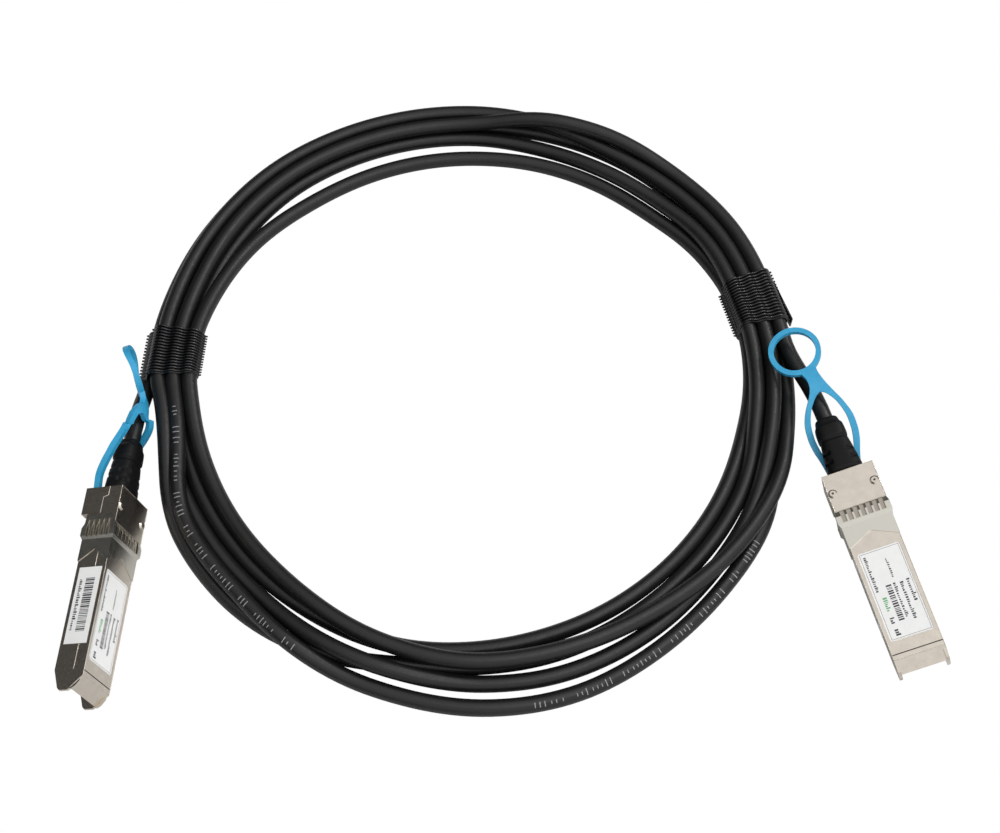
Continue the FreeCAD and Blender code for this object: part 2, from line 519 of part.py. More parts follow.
def pull_tab(line):
    """Return the soft loop: two arms round the strain relief, a strap and a finger ring."""
    rows = []
    for at in tab_stations():
        outer, inner = half_widths(at)
        middle, side, up = tab_frame(line, at)
        half = smooth(TAB_THICK, at)[0] / 2
        rows.append([[middle + side * w + up * h for w in (-outer, -inner, inner, outer)] for h in (half, -half)])
    triangles = []
    for (top, low), (next_top, next_low) in zip(rows, rows[1:]):
        for a, b in ((0, 1), (2, 3)):
            triangles += strip([top[a], top[b]], [next_top[a], next_top[b]])
            triangles += strip([next_low[a], next_low[b]], [low[a], low[b]])
        for k, turned in ((0, False), (1, True), (2, False), (3, True)):
            open_here = (top[1] - top[2]).Length > 1e-6 or (next_top[1] - next_top[2]).Length > 1e-6
            if k in (0, 3) or open_here:
                wall = strip([top[k], next_top[k]], [low[k], next_low[k]])
                triangles += [t[::-1] for t in wall] if turned else wall
    for (top, low), turned in ((rows[0], False), (rows[-1], True)):
        for a, b in ((0, 1), (2, 3)):
            end = strip([top[b], top[a]], [low[b], low[a]])
            triangles += [t[::-1] for t in end] if turned else end
    return solid_from([t for t in triangles if area(t) > 1e-9])


def area(triangle):
    """Return twice a triangle's area."""
    a, b, c = triangle
    return (b - a).cross(c - a).Length


def side_label():
    """Return the label on the connector's left side."""
    mid = (NOSE_Z + TOP_Z) / 2
    x = -NOSE_W / 2
    return box(x - STICKER, x, SIDE_LABEL_Y0, SIDE_LABEL_Y1, mid - SIDE_LABEL_H / 2, mid + SIDE_LABEL_H / 2)


def connector(line):
    """Return every piece of one connector in its own frame."""
    card_w = NOSE_W - 2 * NOSE_WALL - 2 * CARD_GAP
    card_top = CARD_Z + CARD_T
    return {
        "top_shell": top_shell(),
        "bottom_shell": bottom_shell(),
        "rivets": rivets(),
        "emi_shield": emi_shield(),
        "paddle_card": wide(card_w, CARD_Y[0], CARD_Y[1], CARD_Z, card_top),
        "edge_contacts": edge_contacts(),
        "chip": wide(CHIP_SIZE, CHIP_Y, CHIP_Y + CHIP_SIZE, card_top, card_top + CHIP_H),
        "wire_block": wide(BLOCK_W, BLOCK_Y, CARD_Y[1], card_top, card_top + BLOCK_H),
        "twinax_wires": twinax_wires(),
        "crimp_ferrule": rod(FERRULE_R, FERRULE_Y[0], FERRULE_Y[1], 0, CABLE_Z),
        "strain_relief": strain_relief(),
        "main_label": label_block(TOP_Z - LABEL_SINK, STICKER),
        "side_label": side_label(),
        "release_slider": release_slider(),
        "pull_tab": pull_tab(line),
        "latch_lever": latch_lever(),
        "pivot_pin": pin(PIVOT_R),
    }


def placement(pose):
    """Return where a connector lies, with its lowest corner on the ground."""
    x, y, yaw, pitch, roll = pose
    turn = FreeCAD.Rotation(V(0, 0, 1), yaw)
    turn = turn.multiply(FreeCAD.Rotation(V(1, 0, 0), pitch))
    turn = turn.multiply(FreeCAD.Rotation(V(0, 1, 0), roll))
    corners = [V(s * TAIL_W / 2, b, 0) for s in (-1, 1) for b in (NOSE_L, BODY_L)]
    corners += [V(s * NOSE_W / 2, 0, NOSE_Z) for s in (-1, 1)]
    low = min(turn.multVec(c).z for c in corners)
    return FreeCAD.Placement(V(COIL_X + x, COIL_Y + y, -low), turn)


def lead_path(points, name):
    """Return a lead's middle line as straight runs joined by tangent arcs."""
    edges = []
    radii = []
    start = points[0]
    for before, corner, after in zip(points, points[1:], points[2:]):
        back, on = before - corner, after - corner
        reach = CORNER_SHARE * min(back.Length, on.Length)
        half_turn = (math.pi - back.getAngle(on)) / 2
        radius = reach / math.tan(half_turn)
        back.normalize()
        on.normalize()
        inward = (back + on).normalize()
        middle = corner + inward * radius * (1 / math.cos(half_turn) - 1)
        edges.append(Part.LineSegment(start, corner + back * reach).toShape())
        edges.append(Part.Arc(corner + back * reach, middle, corner + on * reach).toShape())
        start = corner + on * reach
        radii.append(radius / CABLE_D)
    edges.append(Part.LineSegment(start, points[-1]).toShape())
    path = Part.Wire(edges)
    print(name, "length", round(path.Length, 1), "bend radii in diameters", [round(r, 1) for r in radii])
    if min(radii) < MIN_BEND:
        print(name, "bends too sharply")
    return path


def tube(path, points, radius):
    """Return a round solid along a lead's middle line."""
    profile = Part.Wire(Part.makeCircle(radius, points[0], points[1] - points[0]))
    solid = path.makePipeShell([profile], True, False)
    print("volume against section times length", round(solid.Volume / (math.pi * radius ** 2 * path.Length), 4))
    return solid


def lead_points(place, start, between):
    """Return a lead's route from a tie to the strain relief, which it enters square."""
    before = place.multVec(V(0, boot_end() + EXIT_L, CABLE_Z))
    end = place.multVec(V(0, boot_end(), CABLE_Z))
    return [start] + [V(COIL_X + x, COIL_Y + y, z) for x, y, z in between] + [before, end]


def main():
    """Build and save every node."""
    os.makedirs("parts", exist_ok=True)
    nodes = {}
    places = {"a": placement(POSE_A), "b": placement(POSE_B)}
    for tag, line in (("a", TAB_LINE_A), ("b", TAB_LINE_B)):
        for name, shape in connector(line).items():
            shape.Placement = places[tag].multiply(shape.Placement)
            nodes[name + "_" + tag] = shape
    left_row = COIL_ROWS[0]
    right_row = next(row for row in COIL_ROWS if row[0] == RIGHT_TIE[1])
    routes = {"lead_a": lead_points(places["a"], coil_point(LEFT_TIE[0], left_row[3], left_row[1]), LEAD_A),
              "lead_b": lead_points(places["b"], coil_point(RIGHT_TIE[1], right_row[6], right_row[4]), LEAD_B)}
    nodes["cable_coil"] = coil()
    for name, points in routes.items():
        path = lead_path(points, name)
        nodes[name] = tube(path, points, CABLE_R)
        nodes["cable_coil"] = nodes["cable_coil"].cut(tube(path, points, CABLE_R + GROOVE_GAP))
    nodes["tie_left"] = tie(LEFT_TIE, left_row)
    nodes["tie_right"] = tie(RIGHT_TIE, right_row)
    for name, shape in nodes.items():
        shape.exportStep("parts/" + name + ".step")
        print(name, "solids", len(shape.Solids), "valid", shape.isValid(), "volume", round(shape.Volume, 2))


main()
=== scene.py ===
import json
import math
import random

import bmesh
import bpy
from mathutils import Matrix, Vector


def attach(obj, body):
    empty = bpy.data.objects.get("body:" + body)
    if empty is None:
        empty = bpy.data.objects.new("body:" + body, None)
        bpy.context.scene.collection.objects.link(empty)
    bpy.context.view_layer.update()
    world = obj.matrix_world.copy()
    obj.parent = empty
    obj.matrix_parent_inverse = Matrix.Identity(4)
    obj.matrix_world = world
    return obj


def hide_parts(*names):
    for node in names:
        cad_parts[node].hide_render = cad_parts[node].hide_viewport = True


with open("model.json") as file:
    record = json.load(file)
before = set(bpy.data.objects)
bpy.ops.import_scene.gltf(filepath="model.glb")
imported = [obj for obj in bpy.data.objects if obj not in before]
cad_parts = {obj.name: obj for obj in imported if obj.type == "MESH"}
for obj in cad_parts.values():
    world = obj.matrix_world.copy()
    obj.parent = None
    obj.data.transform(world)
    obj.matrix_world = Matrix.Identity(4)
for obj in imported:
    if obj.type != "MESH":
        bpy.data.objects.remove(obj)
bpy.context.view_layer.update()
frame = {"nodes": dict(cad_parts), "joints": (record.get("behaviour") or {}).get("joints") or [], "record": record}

ROOT = "cable_assembly"
MM = 0.001
WELD, SAME = 1e-7, 1e-6              # in metres and in millimetres: points this close count as one

# ---------------------------------------------------------------- sizes, in millimetres
CABLE_D = 4.55
CABLE_R = CABLE_D / 2
COIL_X, COIL_Y = -10.89, 45.33       # the coil's centre
COIL_RX, COIL_RY = 77.2, 79.8        # half the length of its inner edge, an ellipse, each way
POINT_STEP = 6.0                     # degrees between the cord's points round the coil
CORD_SIDES, CORD_STEPS = 5, 4        # how finely the cord is drawn, round it and along it

# Angles at which each half turn's place is given: over the top, and round the bottom, in degrees
TOP = (171, 160, 145, 125, 90, 76, 62, 48, 35, 21)
LOW = (11, -2, -14, -21, -28, -44, -56, -75, -90, -101, -110, -120, -131, -150, -165, -172, -179)
# Each half turn: distance outside the coil's inner edge, and height, at each of those angles
HALF_TURNS = [
    (TOP, [(14.1, 3.5), (15.0, 2.9), (17.0, 2.3), (18.6, 2.3), (18.1, 2.3), (18.0, 2.3), (17.6, 2.3),
           (16.9, 2.3), (15.4, 2.8), (13.65, 3.5)]),
    (LOW, [(13.65, 3.5), (13.7, 3.2), (14.0, 5.4), (14.9, 6.6), (14.3, 6.9), (11.9, 6.9), (9.8, 6.3),
           (8.7, 6.8), (8.3, 6.9), (6.5, 6.8), (5.0, 6.85), (3.0, 6.75), (1.5, 6.0), (1.0, 4.95),
           (1.4, 5.9), (1.7, 6.8), (2.7, 7.45)]),
    (TOP, [(2.7, 7.45), (2.3, 6.0), (2.6, 3.4), (1.0, 2.3), (0.8, 2.3), (1.1, 2.3), (1.2, 2.3),
           (1.4, 2.3), (3.5, 2.8), (4.55, 3.5)]),
    (LOW, [(4.55, 3.5), (3.6, 2.8), (2.2, 2.3), (2.0, 2.3), (1.9, 2.3), (1.7, 2.3), (1.8, 2.3),
           (2.4, 2.3), (3.5, 2.3), (4.4, 2.3), (4.4, 2.3), (4.2, 2.3), (4.3, 2.3), (4.7, 2.3),
           (5.3, 2.5), (5.3, 2.9), (5.0, 3.5)]),
    (TOP, [(5.0, 3.5), (5.7, 2.9), (7.4, 2.3), (9.2, 2.3), (8.7, 2.3), (6.6, 3.2), (4.75, 5.2),
           (4.8, 5.6), (5.9, 6.9), (4.55, 8.05)]),
    (LOW, [(4.55, 8.05), (4.7, 7.3), (5.0, 6.0), (6.4, 3.6), (6.35, 2.5), (6.2, 2.3), (6.6, 2.3),
           (7.8, 2.3), (8.1, 2.3), (9.2, 2.3), (11.6, 2.3), (14.0, 2.3), (15.4, 2.3), (14.8, 2.4),
           (9.7, 6.7), (9.5, 7.35), (11.8, 7.45)]),
    (TOP, [(11.8, 7.45), (12.6, 7.0), (14.6, 6.3), (16.3, 6.3), (15.8, 6.3), (13.9, 6.85), (11.1, 6.6),
           (10.5, 6.9), (10.6, 7.4), (9.1, 8.05)]),
    (LOW, [(9.1, 8.05), (9.3, 7.5), (9.5, 7.4), (10.2, 6.3), (11.0, 3.5), (11.4, 2.3), (12.6, 2.3),
           (13.7, 2.3), (12.8, 2.3), (12.6, 5.9), (12.0, 6.95), (10.4, 5.3), (8.85, 2.9), (9.1, 2.4),
           (9.85, 2.5), (10.0, 2.9), (9.55, 3.5)]),
    (TOP, [(9.55, 3.5), (10.3, 2.9), (12.2, 2.3), (13.9, 2.3), (13.4, 2.3), (13.3, 2.3), (13.0, 2.3),
           (12.2, 2.3), (10.8, 2.8), (9.1, 3.5)]),
    (LOW, [(9.1, 3.5), (9.1, 2.8), (10.2, 2.6), (12.9, 2.3), (15.4, 2.3), (16.4, 2.3), (17.7, 2.3),
           (20.1, 2.3), (19.3, 2.3), (17.6, 2.3), (16.6, 2.9), (15.5, 6.75), (13.0, 6.3), (12.1, 6.15),
           (6.0, 7.2), (5.95, 7.5), (7.25, 7.45)]),
    (TOP, [(7.25, 7.45), (7.7, 7.0), (9.8, 6.3), (11.5, 6.3), (11.0, 6.5), (12.0, 11.4), (14.3, 10.1),
           (15.4, 7.0), (15.3, 7.4), (13.65, 8.05)])]
# Leads: where each leaves its tie (angle, distance out, height), then a point from the coil's centre
LEAD_A_EXIT, LEAD_A = (180.5, 14.1, 3.5), (-92.2, -7.0, 4.4)
LEAD_B_EXIT, LEAD_B = (10.0, 13.65, 8.05), (90.9, 5.5, 7.95)
LEAD_POINTS = 4                      # the cord's points before its first half turn

# Marks printed on the jacket: the half turn that carries them, and the angles between which they run
MARKED_HALF_TURN = 9
MARK_SPANS = [(-34, -82), (-118, -171)]
MARK_PITCH, MARK_HEIGHT, MARK_STROKE, MARK_LIFT = 1.15, 1.9, 0.27, 0.02
MARK_HEIGHTS = (0.45, 0.75, 1.0)     # as shares of the height
MARK_SPREAD = (0.8, 1.3)             # least and most space from stroke to stroke, as shares of the pitch
WORD_STROKES, FIRST_WORD = (3, 9), 6
WORD_SPACE = 2.2                     # as a share of the pitch
MARK_FACING = (0.0, -0.5, 0.866)     # the way that the marked side of the jacket faces
MARK_SIDES = 4                       # flats that wrap one stroke over the jacket
MARK_SEED = 11
MARK_STEPS = 24                      # points looked at from one of the cord's points to the next

# Connector, in its own frame: x across, y back from the nose, z up to the label face
PIVOT_Y, PIVOT_Z = 26.5, 3.05        # the latch's pivot
CABLE_Z = 6.1
BODY_L = 58.0
BOOT_END, EXIT_L = 75.5, 8.5         # where the cord leaves the strain relief, and its straight run there
TOP_Z, NOSE_W, NOSE_Z = 10.5, 13.6, 2.0

# Strain relief: distance beyond the body, half width, half height
BOOT = [(0.0, 5.1, 3.7), (0.6, 5.1, 3.7), (0.9, 4.7, 3.4), (1.5, 4.7, 3.4), (1.8, 4.95, 3.63),
        (10.4, 3.95, 3.25), (10.6, 3.65, 3.0), (11.1, 3.65, 3.0), (11.4, 4.05, 3.4), (12.2, 4.15, 3.45),
        (15.0, 4.0, 3.35), (15.6, 3.7, 3.1), (16.0, 3.5, 3.0), (17.2, 3.2, 2.8), (17.5, 2.9, 2.6)]
BOOT_POWER = 3.2                     # how square its section is: 2 is an ellipse
BOOT_STEP, BOOT_SIDES = 0.22, 72
NOTCHES = [(3.4, 1), (6.3, 1), (4.85, -1), (7.75, -1)]   # start of each, above or below the middle
NOTCH_W = 1.2
NOTCH_X, NOTCH_Z = 2.7, 0.7          # a notch reaches in to here from each side
NOTCH_KEEP = 0.8                     # share of the section that is left in a notch

# Ties: first and last angle, and the strands at the bundle's corners
TIE_LEFT = ((181.6, 171.2), [(5.0, 3.5), (14.1, 3.5), (11.8, 7.45), (2.7, 7.45)])
TIE_RIGHT = ((21.0, 10.0), [(4.55, 3.5), (13.65, 3.5), (13.65, 8.05), (4.55, 8.05)])
TIE_RIBS, TIE_RIB_SHARE, TIE_RIB_POWER = 16, 0.32, 4
TIE_RIB_STEPS = 10
TIE_INSIDE, TIE_CORE, TIE_RIB = 0.02, 0.3, 0.95      # inner face above the strands, band, rib
TIE_DIP, TIE_SIDE_DROP = 0.58, 0.6   # dip between two strands, and share of the rib lost at the sides
TIE_TURN_STEP, TIE_RUN_STEP = 0.12, 0.35             # radians round a corner, length along a flat
TOOTH_FOOT, TOOTH_TIP = (0.2, 0.5), (1.4, 0.12)      # reach, half height
TOOTH_SHARE = 0.2                    # half width, as a share of the ribs' pitch
# The right tie's free end: two (share of the width, reach), its lower and upper edge, its thickness
FREE_END_RUN, FREE_END_Z, FREE_END_T = ((0.25, 0.4), (1.0, 1.25)), (5.0, 8.9), 0.45

# Pull tab: half width outside and inside against the distance along it from the slider
SLIDER_END = 57.0
TAB_OUTER = [(0.0, 4.5), (3.0, 4.6), (6.0, 5.0), (9.3, 5.8), (12.0, 6.6), (15.3, 7.05), (19.2, 6.8),
             (23.0, 5.4), (26.8, 3.3), (29.3, 2.25), (31.8, 1.95), (33.7, 2.3)]
TAB_INNER = [(0.0, 2.9), (3.0, 3.0), (6.0, 3.4), (9.3, 4.1), (12.0, 4.8), (15.3, 5.3), (19.2, 5.1),
             (23.0, 3.8), (25.3, 2.3), (26.5, 1.1), (27.1, 0.0)]
RING_AT, RING_R, RING_HOLE_R = 40.6, 7.3, 5.85
TAB_THICK = [(0.0, 1.1), (1.5, 1.1), (4.0, 1.6), (49.0, 1.6)]
TAB_EDGE_R, TAB_EDGE_STEPS, TAB_EDGE_ANGLE = 0.45, 3, 35
TAB_STEP, TAB_STEPS = 0.6, 56        # stations along the arms and the strap
TAB_FORK = {26.8, 27.0, 27.1}        # stations where the arms meet
RING_STEPS, RING_TIP = 40, 0.004     # stations along the ring, and how far short of its end the last is
TAB_REACH = 0.5                      # how far ahead and behind the line's direction is taken
# Distance along, then x, y beyond the slider and z of the middle line, and the twist about it
TAB_LINES = {
    "a": [(0, 0, 0, 1.05, 0), (1, 0, 1, 1.05, 0), (3, -0.1, 3, 1.1, 0), (7, -0.7, 7, 1.4, -4),
          (13, -1.1, 12.8, 3.3, -14), (19, -1.2, 18.3, 6.0, -12), (22, -1.4, 21.0, 7.5, -4),
          (24.2, -2.3, 23.2, 8.8, 6), (25.3, -3.2, 24.2, 9.2, 8), (27, -3.3, 25.9, 9.5, 4),
          (29.3, -2.8, 28.1, 9.6, -10), (31.8, -3.0, 30.4, 9.3, -16), (35, -4.4, 33.3, 8.3, -20),
          (40.6, -7.0, 38.1, 6.9, -19), (49, -10.8, 45.3, 5.0, -4)],
    "b": [(0, 0, 0, 1.05, 0), (1, 0, 1, 1.05, 0), (3, 0.1, 3, 1.1, 0), (7, 0.3, 7, 1.4, 0),
          (13, 0.6, 12.8, 3.4, 0), (19, 0.8, 18.3, 6.3, 0), (27, 1.2, 25.8, 9.9, 0), (31, 0.8, 29.7, 11.1, 0),
          (40.6, -1.4, 39.2, 11.8, 0), (49, -2.8, 47.5, 12.1, 0)]}

# Printing, as rows of plain bars: distance of the row's middle from the label's left edge, the row's start
# and end from the label's tail end, and the height of its bars
LABEL_X0, LABEL_TAIL_Y, LABEL_FRONT_Y, LABEL_FACE_Z = -5.8, 34.0, 8.6, 10.37
LABEL_ROWS = [(1.6, 1.4, 11.6, 0.85), (6.75, 3.4, 8.9, 0.55), (10.2, 10.4, 17.0, 1.15),
              (8.25, 10.7, 21.7, 0.95), (6.45, 10.4, 20.5, 0.85), (2.5, 19.2, 21.2, 1.2),
              (2.6, 22.5, 24.7, 1.3)]
LABEL_BARS = (4.75, 10.5, 20.9, 1.5)
LABEL_GREEN = (2.6, 13.5, 17.7, 1.1)
LABEL_RIM = (0.45, 0.08)             # the printed rim's distance from the label's edge, and its width
SIDE_Z0, SIDE_TAIL_Y, SIDE_FACE_X = 3.0, 34.1, -6.92
SIDE_ROW = (1.4, 3.5, 17.9, 1.0)
SIDE_BARS = (3.9, 3.2, 18.3, 2.6)
TEXT_DASH, TEXT_HEIGHTS = (0.22, 0.5, 0.22), (0.5, 0.75, 1.0)     # least width, most width and gap
STRIPE_DASH = (0.1, 0.5, 0.24)
GAP_SPREAD = (0.7, 1.4)              # least and most gap, as shares of the gap
PRINT_SEED = 7
INK_LIFT = 0.015

# Edges and seams that catch the light, as runs of points in the connector's own frame
EDGE_R, EDGE_SIDES = 0.09, 6
EDGE_RUNS = [[(6.8, 0.6, 7.5), (6.8, 3.7, 10.5), (6.8, 36.3, 10.5)], [(7.15, 47.3, 10.8), (7.15, 58.0, 10.8)],
             [(7.15, 50.0, 5.7), (7.15, 54.8, 5.7), (7.15, 55.3, 7.1), (7.15, 58.0, 7.1)],
             [(6.8, 39.2, 7.4), (6.8, 34.3, 7.4)], [(6.8, 12.3, 7.4), (6.8, 5.5, 7.4)],
             [(6.8, 36.3, 10.4), (6.8, 39.3, 6.25), (6.8, 36.3, 2.1)]]
CROSS_RUNS = [[(-7.15, 47.2, 10.8), (7.15, 47.2, 10.8)], [(-7.15, 58.0, 10.8), (7.15, 58.0, 10.8)],
              [(-6.8, 3.7, 10.5), (6.8, 3.7, 10.5)]]

# The groove's painted shade, a dark flat piece: its start and end along the hood, and its height
GROOVE_SHADE = (5.0, 5.3, 10.33)
# Windows in the shield's top and in its sides, inside which the casting's shade is painted: start and end along
# it, pitch, width, number
WINDOW_Y, WINDOW_PITCH, WINDOW_W, WINDOWS = (43.6, 47.15), 1.8, 1.25, 7
SIDE_WINDOW_Y, SIDE_PITCH, SIDE_W, SIDE_WINDOWS = (43.1, 48.2), 1.5, 1.0, 5
SHADE_LIFT = 0.03
# Rivets: the place of each head's top, and the pit in it, whose shade is painted as a dark ring that is all but
# closed
RIVET_X, RIVET_Y, RIVET_Z = 5.85, 52.4, 11.25
PIT_R, PIT_HOLE_R, PIT_LIFT, PIT_SIDES = 0.34, 0.02, 0.01, 24

# Materials: the part of a noise's range that drives a change, and the strength of every bump
NOISE_RANGE = (0.3, 0.7)
BUMP_STRENGTH = 0.6
SPREAD_INPUTS = ("From Min", "From Max", "To Min", "To Max")

# Floor, in metres, with the grey that the object sees
FLOOR_SIZE, FLOOR_Z, FLOOR_GREY = 8, -0.0003, 0.7
# Light, in metres and watts: the sky's slant, and its dark and bright ends with their strengths
SKY_SLANT = (0.45, -0.35, 1.0)
SKY_RANGE = (0.36, 0.60, 0.07, 1.0)
# Each lamp: name, size, power, place
LAMPS = [("key", (0.7, 0.5), 1.9, (0.3, -0.1, 0.85)), ("strip", (0.03, 0.5), 1.2, (0.42, 0.42, 0.62))]
LAMP_TARGET = (0, 0.04, 0)
# Camera: what it looks at, how far off it is, and its angle above the floor in degrees
CAMERA_AIM, CAMERA_DISTANCE, CAMERA_ELEVATION = (-2.09, 34.33, 0), 472, 60
CAMERA_LENS, CAMERA_SENSOR, CAMERA_NEAR = 59.54, 36.0, 0.01


# ---------------------------------------------------------------- helpers
def smooth(table, at):
    """Read a table of (distance, values) rows at a distance, by a smooth curve that never overshoots."""
    last = len(table) - 2
    i = max(k for k in range(last + 1) if k == 0 or table[k][0] <= at)
    before, here = table[max(i - 1, 0)], table[i]
    there, after = table[i + 1], table[min(i + 2, last + 1)]
    span = there[0] - here[0]
    t = min(max((at - here[0]) / span, 0.0), 1.0)
    values = []
    for p, a, b, n in zip(before[1:], here[1:], there[1:], after[1:]):
        slope = (b - a) / span
        start = limited((b - p) / (there[0] - before[0]), slope)
        end = limited((n - a) / (after[0] - here[0]), slope)
        values.append((2 * t ** 3 - 3 * t ** 2 + 1) * a + (t ** 3 - 2 * t ** 2 + t) * span * start
                      + (3 * t ** 2 - 2 * t ** 3) * b + (t ** 3 - t ** 2) * span * end)
    return values


def limited(tangent, slope):
    """Hold a tangent between level and three times the straight slope."""
    if tangent * slope <= 0:
        return 0.0
    return math.copysign(min(abs(tangent), 3 * abs(slope)), slope)


def coil_point(angle, out, z):
    """Return the place at an angle round the coil, a distance outside its inner edge, in metres."""
    c, s = math.cos(math.radians(angle)), math.sin(math.radians(angle))
    inner = 1 / math.hypot(c / COIL_RX, s / COIL_RY)
    return Vector((COIL_X + (inner + out) * c, COIL_Y + (inner + out) * s, z)) * MM


def connector_matrix(tag):
    """Return the matrix from a connector's own millimetres to the frame, from its two joints."""
    joints = {joint["name"]: joint for joint in frame["joints"]}
    along = Vector(joints["pull_" + tag]["axis"]).normalized()
    across = Vector(joints["latch_pivot_" + tag]["axis"]).normalized()
    up = across.cross(along).normalized()
    pivot = Vector(joints["latch_pivot_" + tag]["pos_m"])
    origin = pivot - (along * PIVOT_Y + up * PIVOT_Z) * MM
    turn = Matrix((across, along, up)).transposed().to_4x4()
    return Matrix.Translation(origin) @ turn @ Matrix.Scale(MM, 4)


PLACES = {tag: connector_matrix(tag) for tag in "ab"}


def mesh_piece(name, points, faces, material, smooth_shade=True):
    """Make one mesh object from points in metres."""
    mesh = bpy.data.meshes.new(name)
    mesh.from_pydata([tuple(p) for p in points], [], faces)
    mesh.validate()
    work = bmesh.new()
    work.from_mesh(mesh)
    bmesh.ops.remove_doubles(work, verts=work.verts, dist=WELD)
    bmesh.ops.recalc_face_normals(work, faces=work.faces)
    work.to_mesh(mesh)
    work.free()
    mesh.materials.append(material)
    for face in mesh.polygons:
        face.use_smooth = smooth_shade
    piece = bpy.data.objects.new(name, mesh)
    bpy.context.scene.collection.objects.link(piece)
    return piece


def round_edges(piece, width, segments, angle):
    """Round a piece's sharp edges and keep its flats flat."""
    bevel = piece.modifiers.new("round", "BEVEL")
    bevel.width = width
    bevel.segments = segments
    bevel.limit_method = "ANGLE"
    bevel.angle_limit = math.radians(angle)
    bevel.harden_normals = True


def tube_faces(rings, sides):
    """Return the quads of a tube whose points run ring by ring."""
    faces = []
    for i in range(rings - 1):
        for j in range(sides):
            a, b = i * sides + j, i * sides + (j + 1) % sides
            faces.append((a, b, b + sides, a + sides))
    return faces


def add_quad(points, faces, corners):
    """Add one four-sided face to a mesh's points and faces."""
    first = len(points)
    points.extend(corners)
    faces.append((first, first + 1, first + 2, first + 3))


def add_block(points, faces, corners):
    """Add one closed block from its eight corners, four at each end."""
    first = len(points)
    points.extend(corners)
    faces += [(first, first + 3, first + 2, first + 1), (first + 4, first + 5, first + 6, first + 7)]
    for j in range(4):
        a, b = first + j, first + (j + 1) % 4
        faces.append((a, b, b + 4, a + 4))


def add_thread(points, faces, run, radius):
    """Add one thin round thread along a run of points."""
    first = len(points)
    for i, here in enumerate(run):
        way = (run[min(i + 1, len(run) - 1)] - run[max(i - 1, 0)]).normalized()
        across = way.orthogonal().normalized()
        up = way.cross(across)
        for k in range(EDGE_SIDES):
            turn = 2 * math.pi * k / EDGE_SIDES
            points.append(here + (across * math.cos(turn) + up * math.sin(turn)) * radius)
    faces.extend(tuple(first + v for v in face) for face in tube_faces(len(run), EDGE_SIDES))


def add_ring(points, faces, centre, inner, outer):
    """Add one flat ring that faces up."""
    first = len(points)
    for k in range(PIT_SIDES):
        turn = 2 * math.pi * k / PIT_SIDES
        way = Vector((math.cos(turn), math.sin(turn), 0))
        points.extend([centre + way * inner, centre + way * outer])
    for k in range(PIT_SIDES):
        a, b = first + 2 * k, first + 2 * ((k + 1) % PIT_SIDES)
        faces.append((a, a + 1, b + 1, b))


def placed_piece(name, tag, points, faces, material, smooth_shade=False):
    """Make one mesh object from points in a connector's own frame. It rides on the cable's body."""
    placed = [PLACES[tag] @ point for point in points]
    piece = mesh_piece(name, placed, faces, MATERIALS[material], smooth_shade)
    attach(piece, ROOT)


# ---------------------------------------------------------------- materials
def new_material(name, color, roughness, metallic=0.0, specular=0.5):
    """Make a plain principled material and return it with its shader."""
    material = bpy.data.materials.new(name)
    material.use_nodes = True
    shader = material.node_tree.nodes["Principled BSDF"]
    shader.inputs["Base Color"].default_value = (*color, 1)
    shader.inputs["Roughness"].default_value = roughness
    shader.inputs["Metallic"].default_value = metallic
    shader.inputs["Specular IOR Level"].default_value = specular
    return material, shader


def noise(material, scale, detail=3.0):
    """Add object-space noise with features of about 1/scale metres and return its output."""
    nodes, links = material.node_tree.nodes, material.node_tree.links
    place = nodes.new("ShaderNodeTexCoord")
    texture = nodes.new("ShaderNodeTexNoise")
    texture.inputs["Scale"].default_value = scale
    texture.inputs["Detail"].default_value = detail
    links.new(place.outputs["Object"], texture.inputs["Vector"])
    return texture.outputs["Fac"]


def vary(material, shader, source, socket, low, high):
    """Drive a shader socket between two values or colours from a noise output."""
    nodes, links = material.node_tree.nodes, material.node_tree.links
    if isinstance(low, tuple):
        ramp = nodes.new("ShaderNodeValToRGB")
        for stop, position, color in zip(ramp.color_ramp.elements, NOISE_RANGE, (low, high)):
            stop.position = position
            stop.color = (*color, 1)
        links.new(source, ramp.inputs["Fac"])
        links.new(ramp.outputs["Color"], shader.inputs[socket])
        return
    spread = nodes.new("ShaderNodeMapRange")
    for name, value in zip(SPREAD_INPUTS, (*NOISE_RANGE, low, high)):
        spread.inputs[name].default_value = value
    links.new(source, spread.inputs["Value"])
    links.new(spread.outputs["Result"], shader.inputs[socket])


def roughen(material, shader, source, depth):
    """Add bump of a real depth in metres from a noise output."""
    nodes, links = material.node_tree.nodes, material.node_tree.links
    bump = nodes.new("ShaderNodeBump")
    bump.inputs["Strength"].default_value = BUMP_STRENGTH
    bump.inputs["Distance"].default_value = depth
    links.new(source, bump.inputs["Height"])
    links.new(bump.outputs["Normal"], shader.inputs["Normal"])


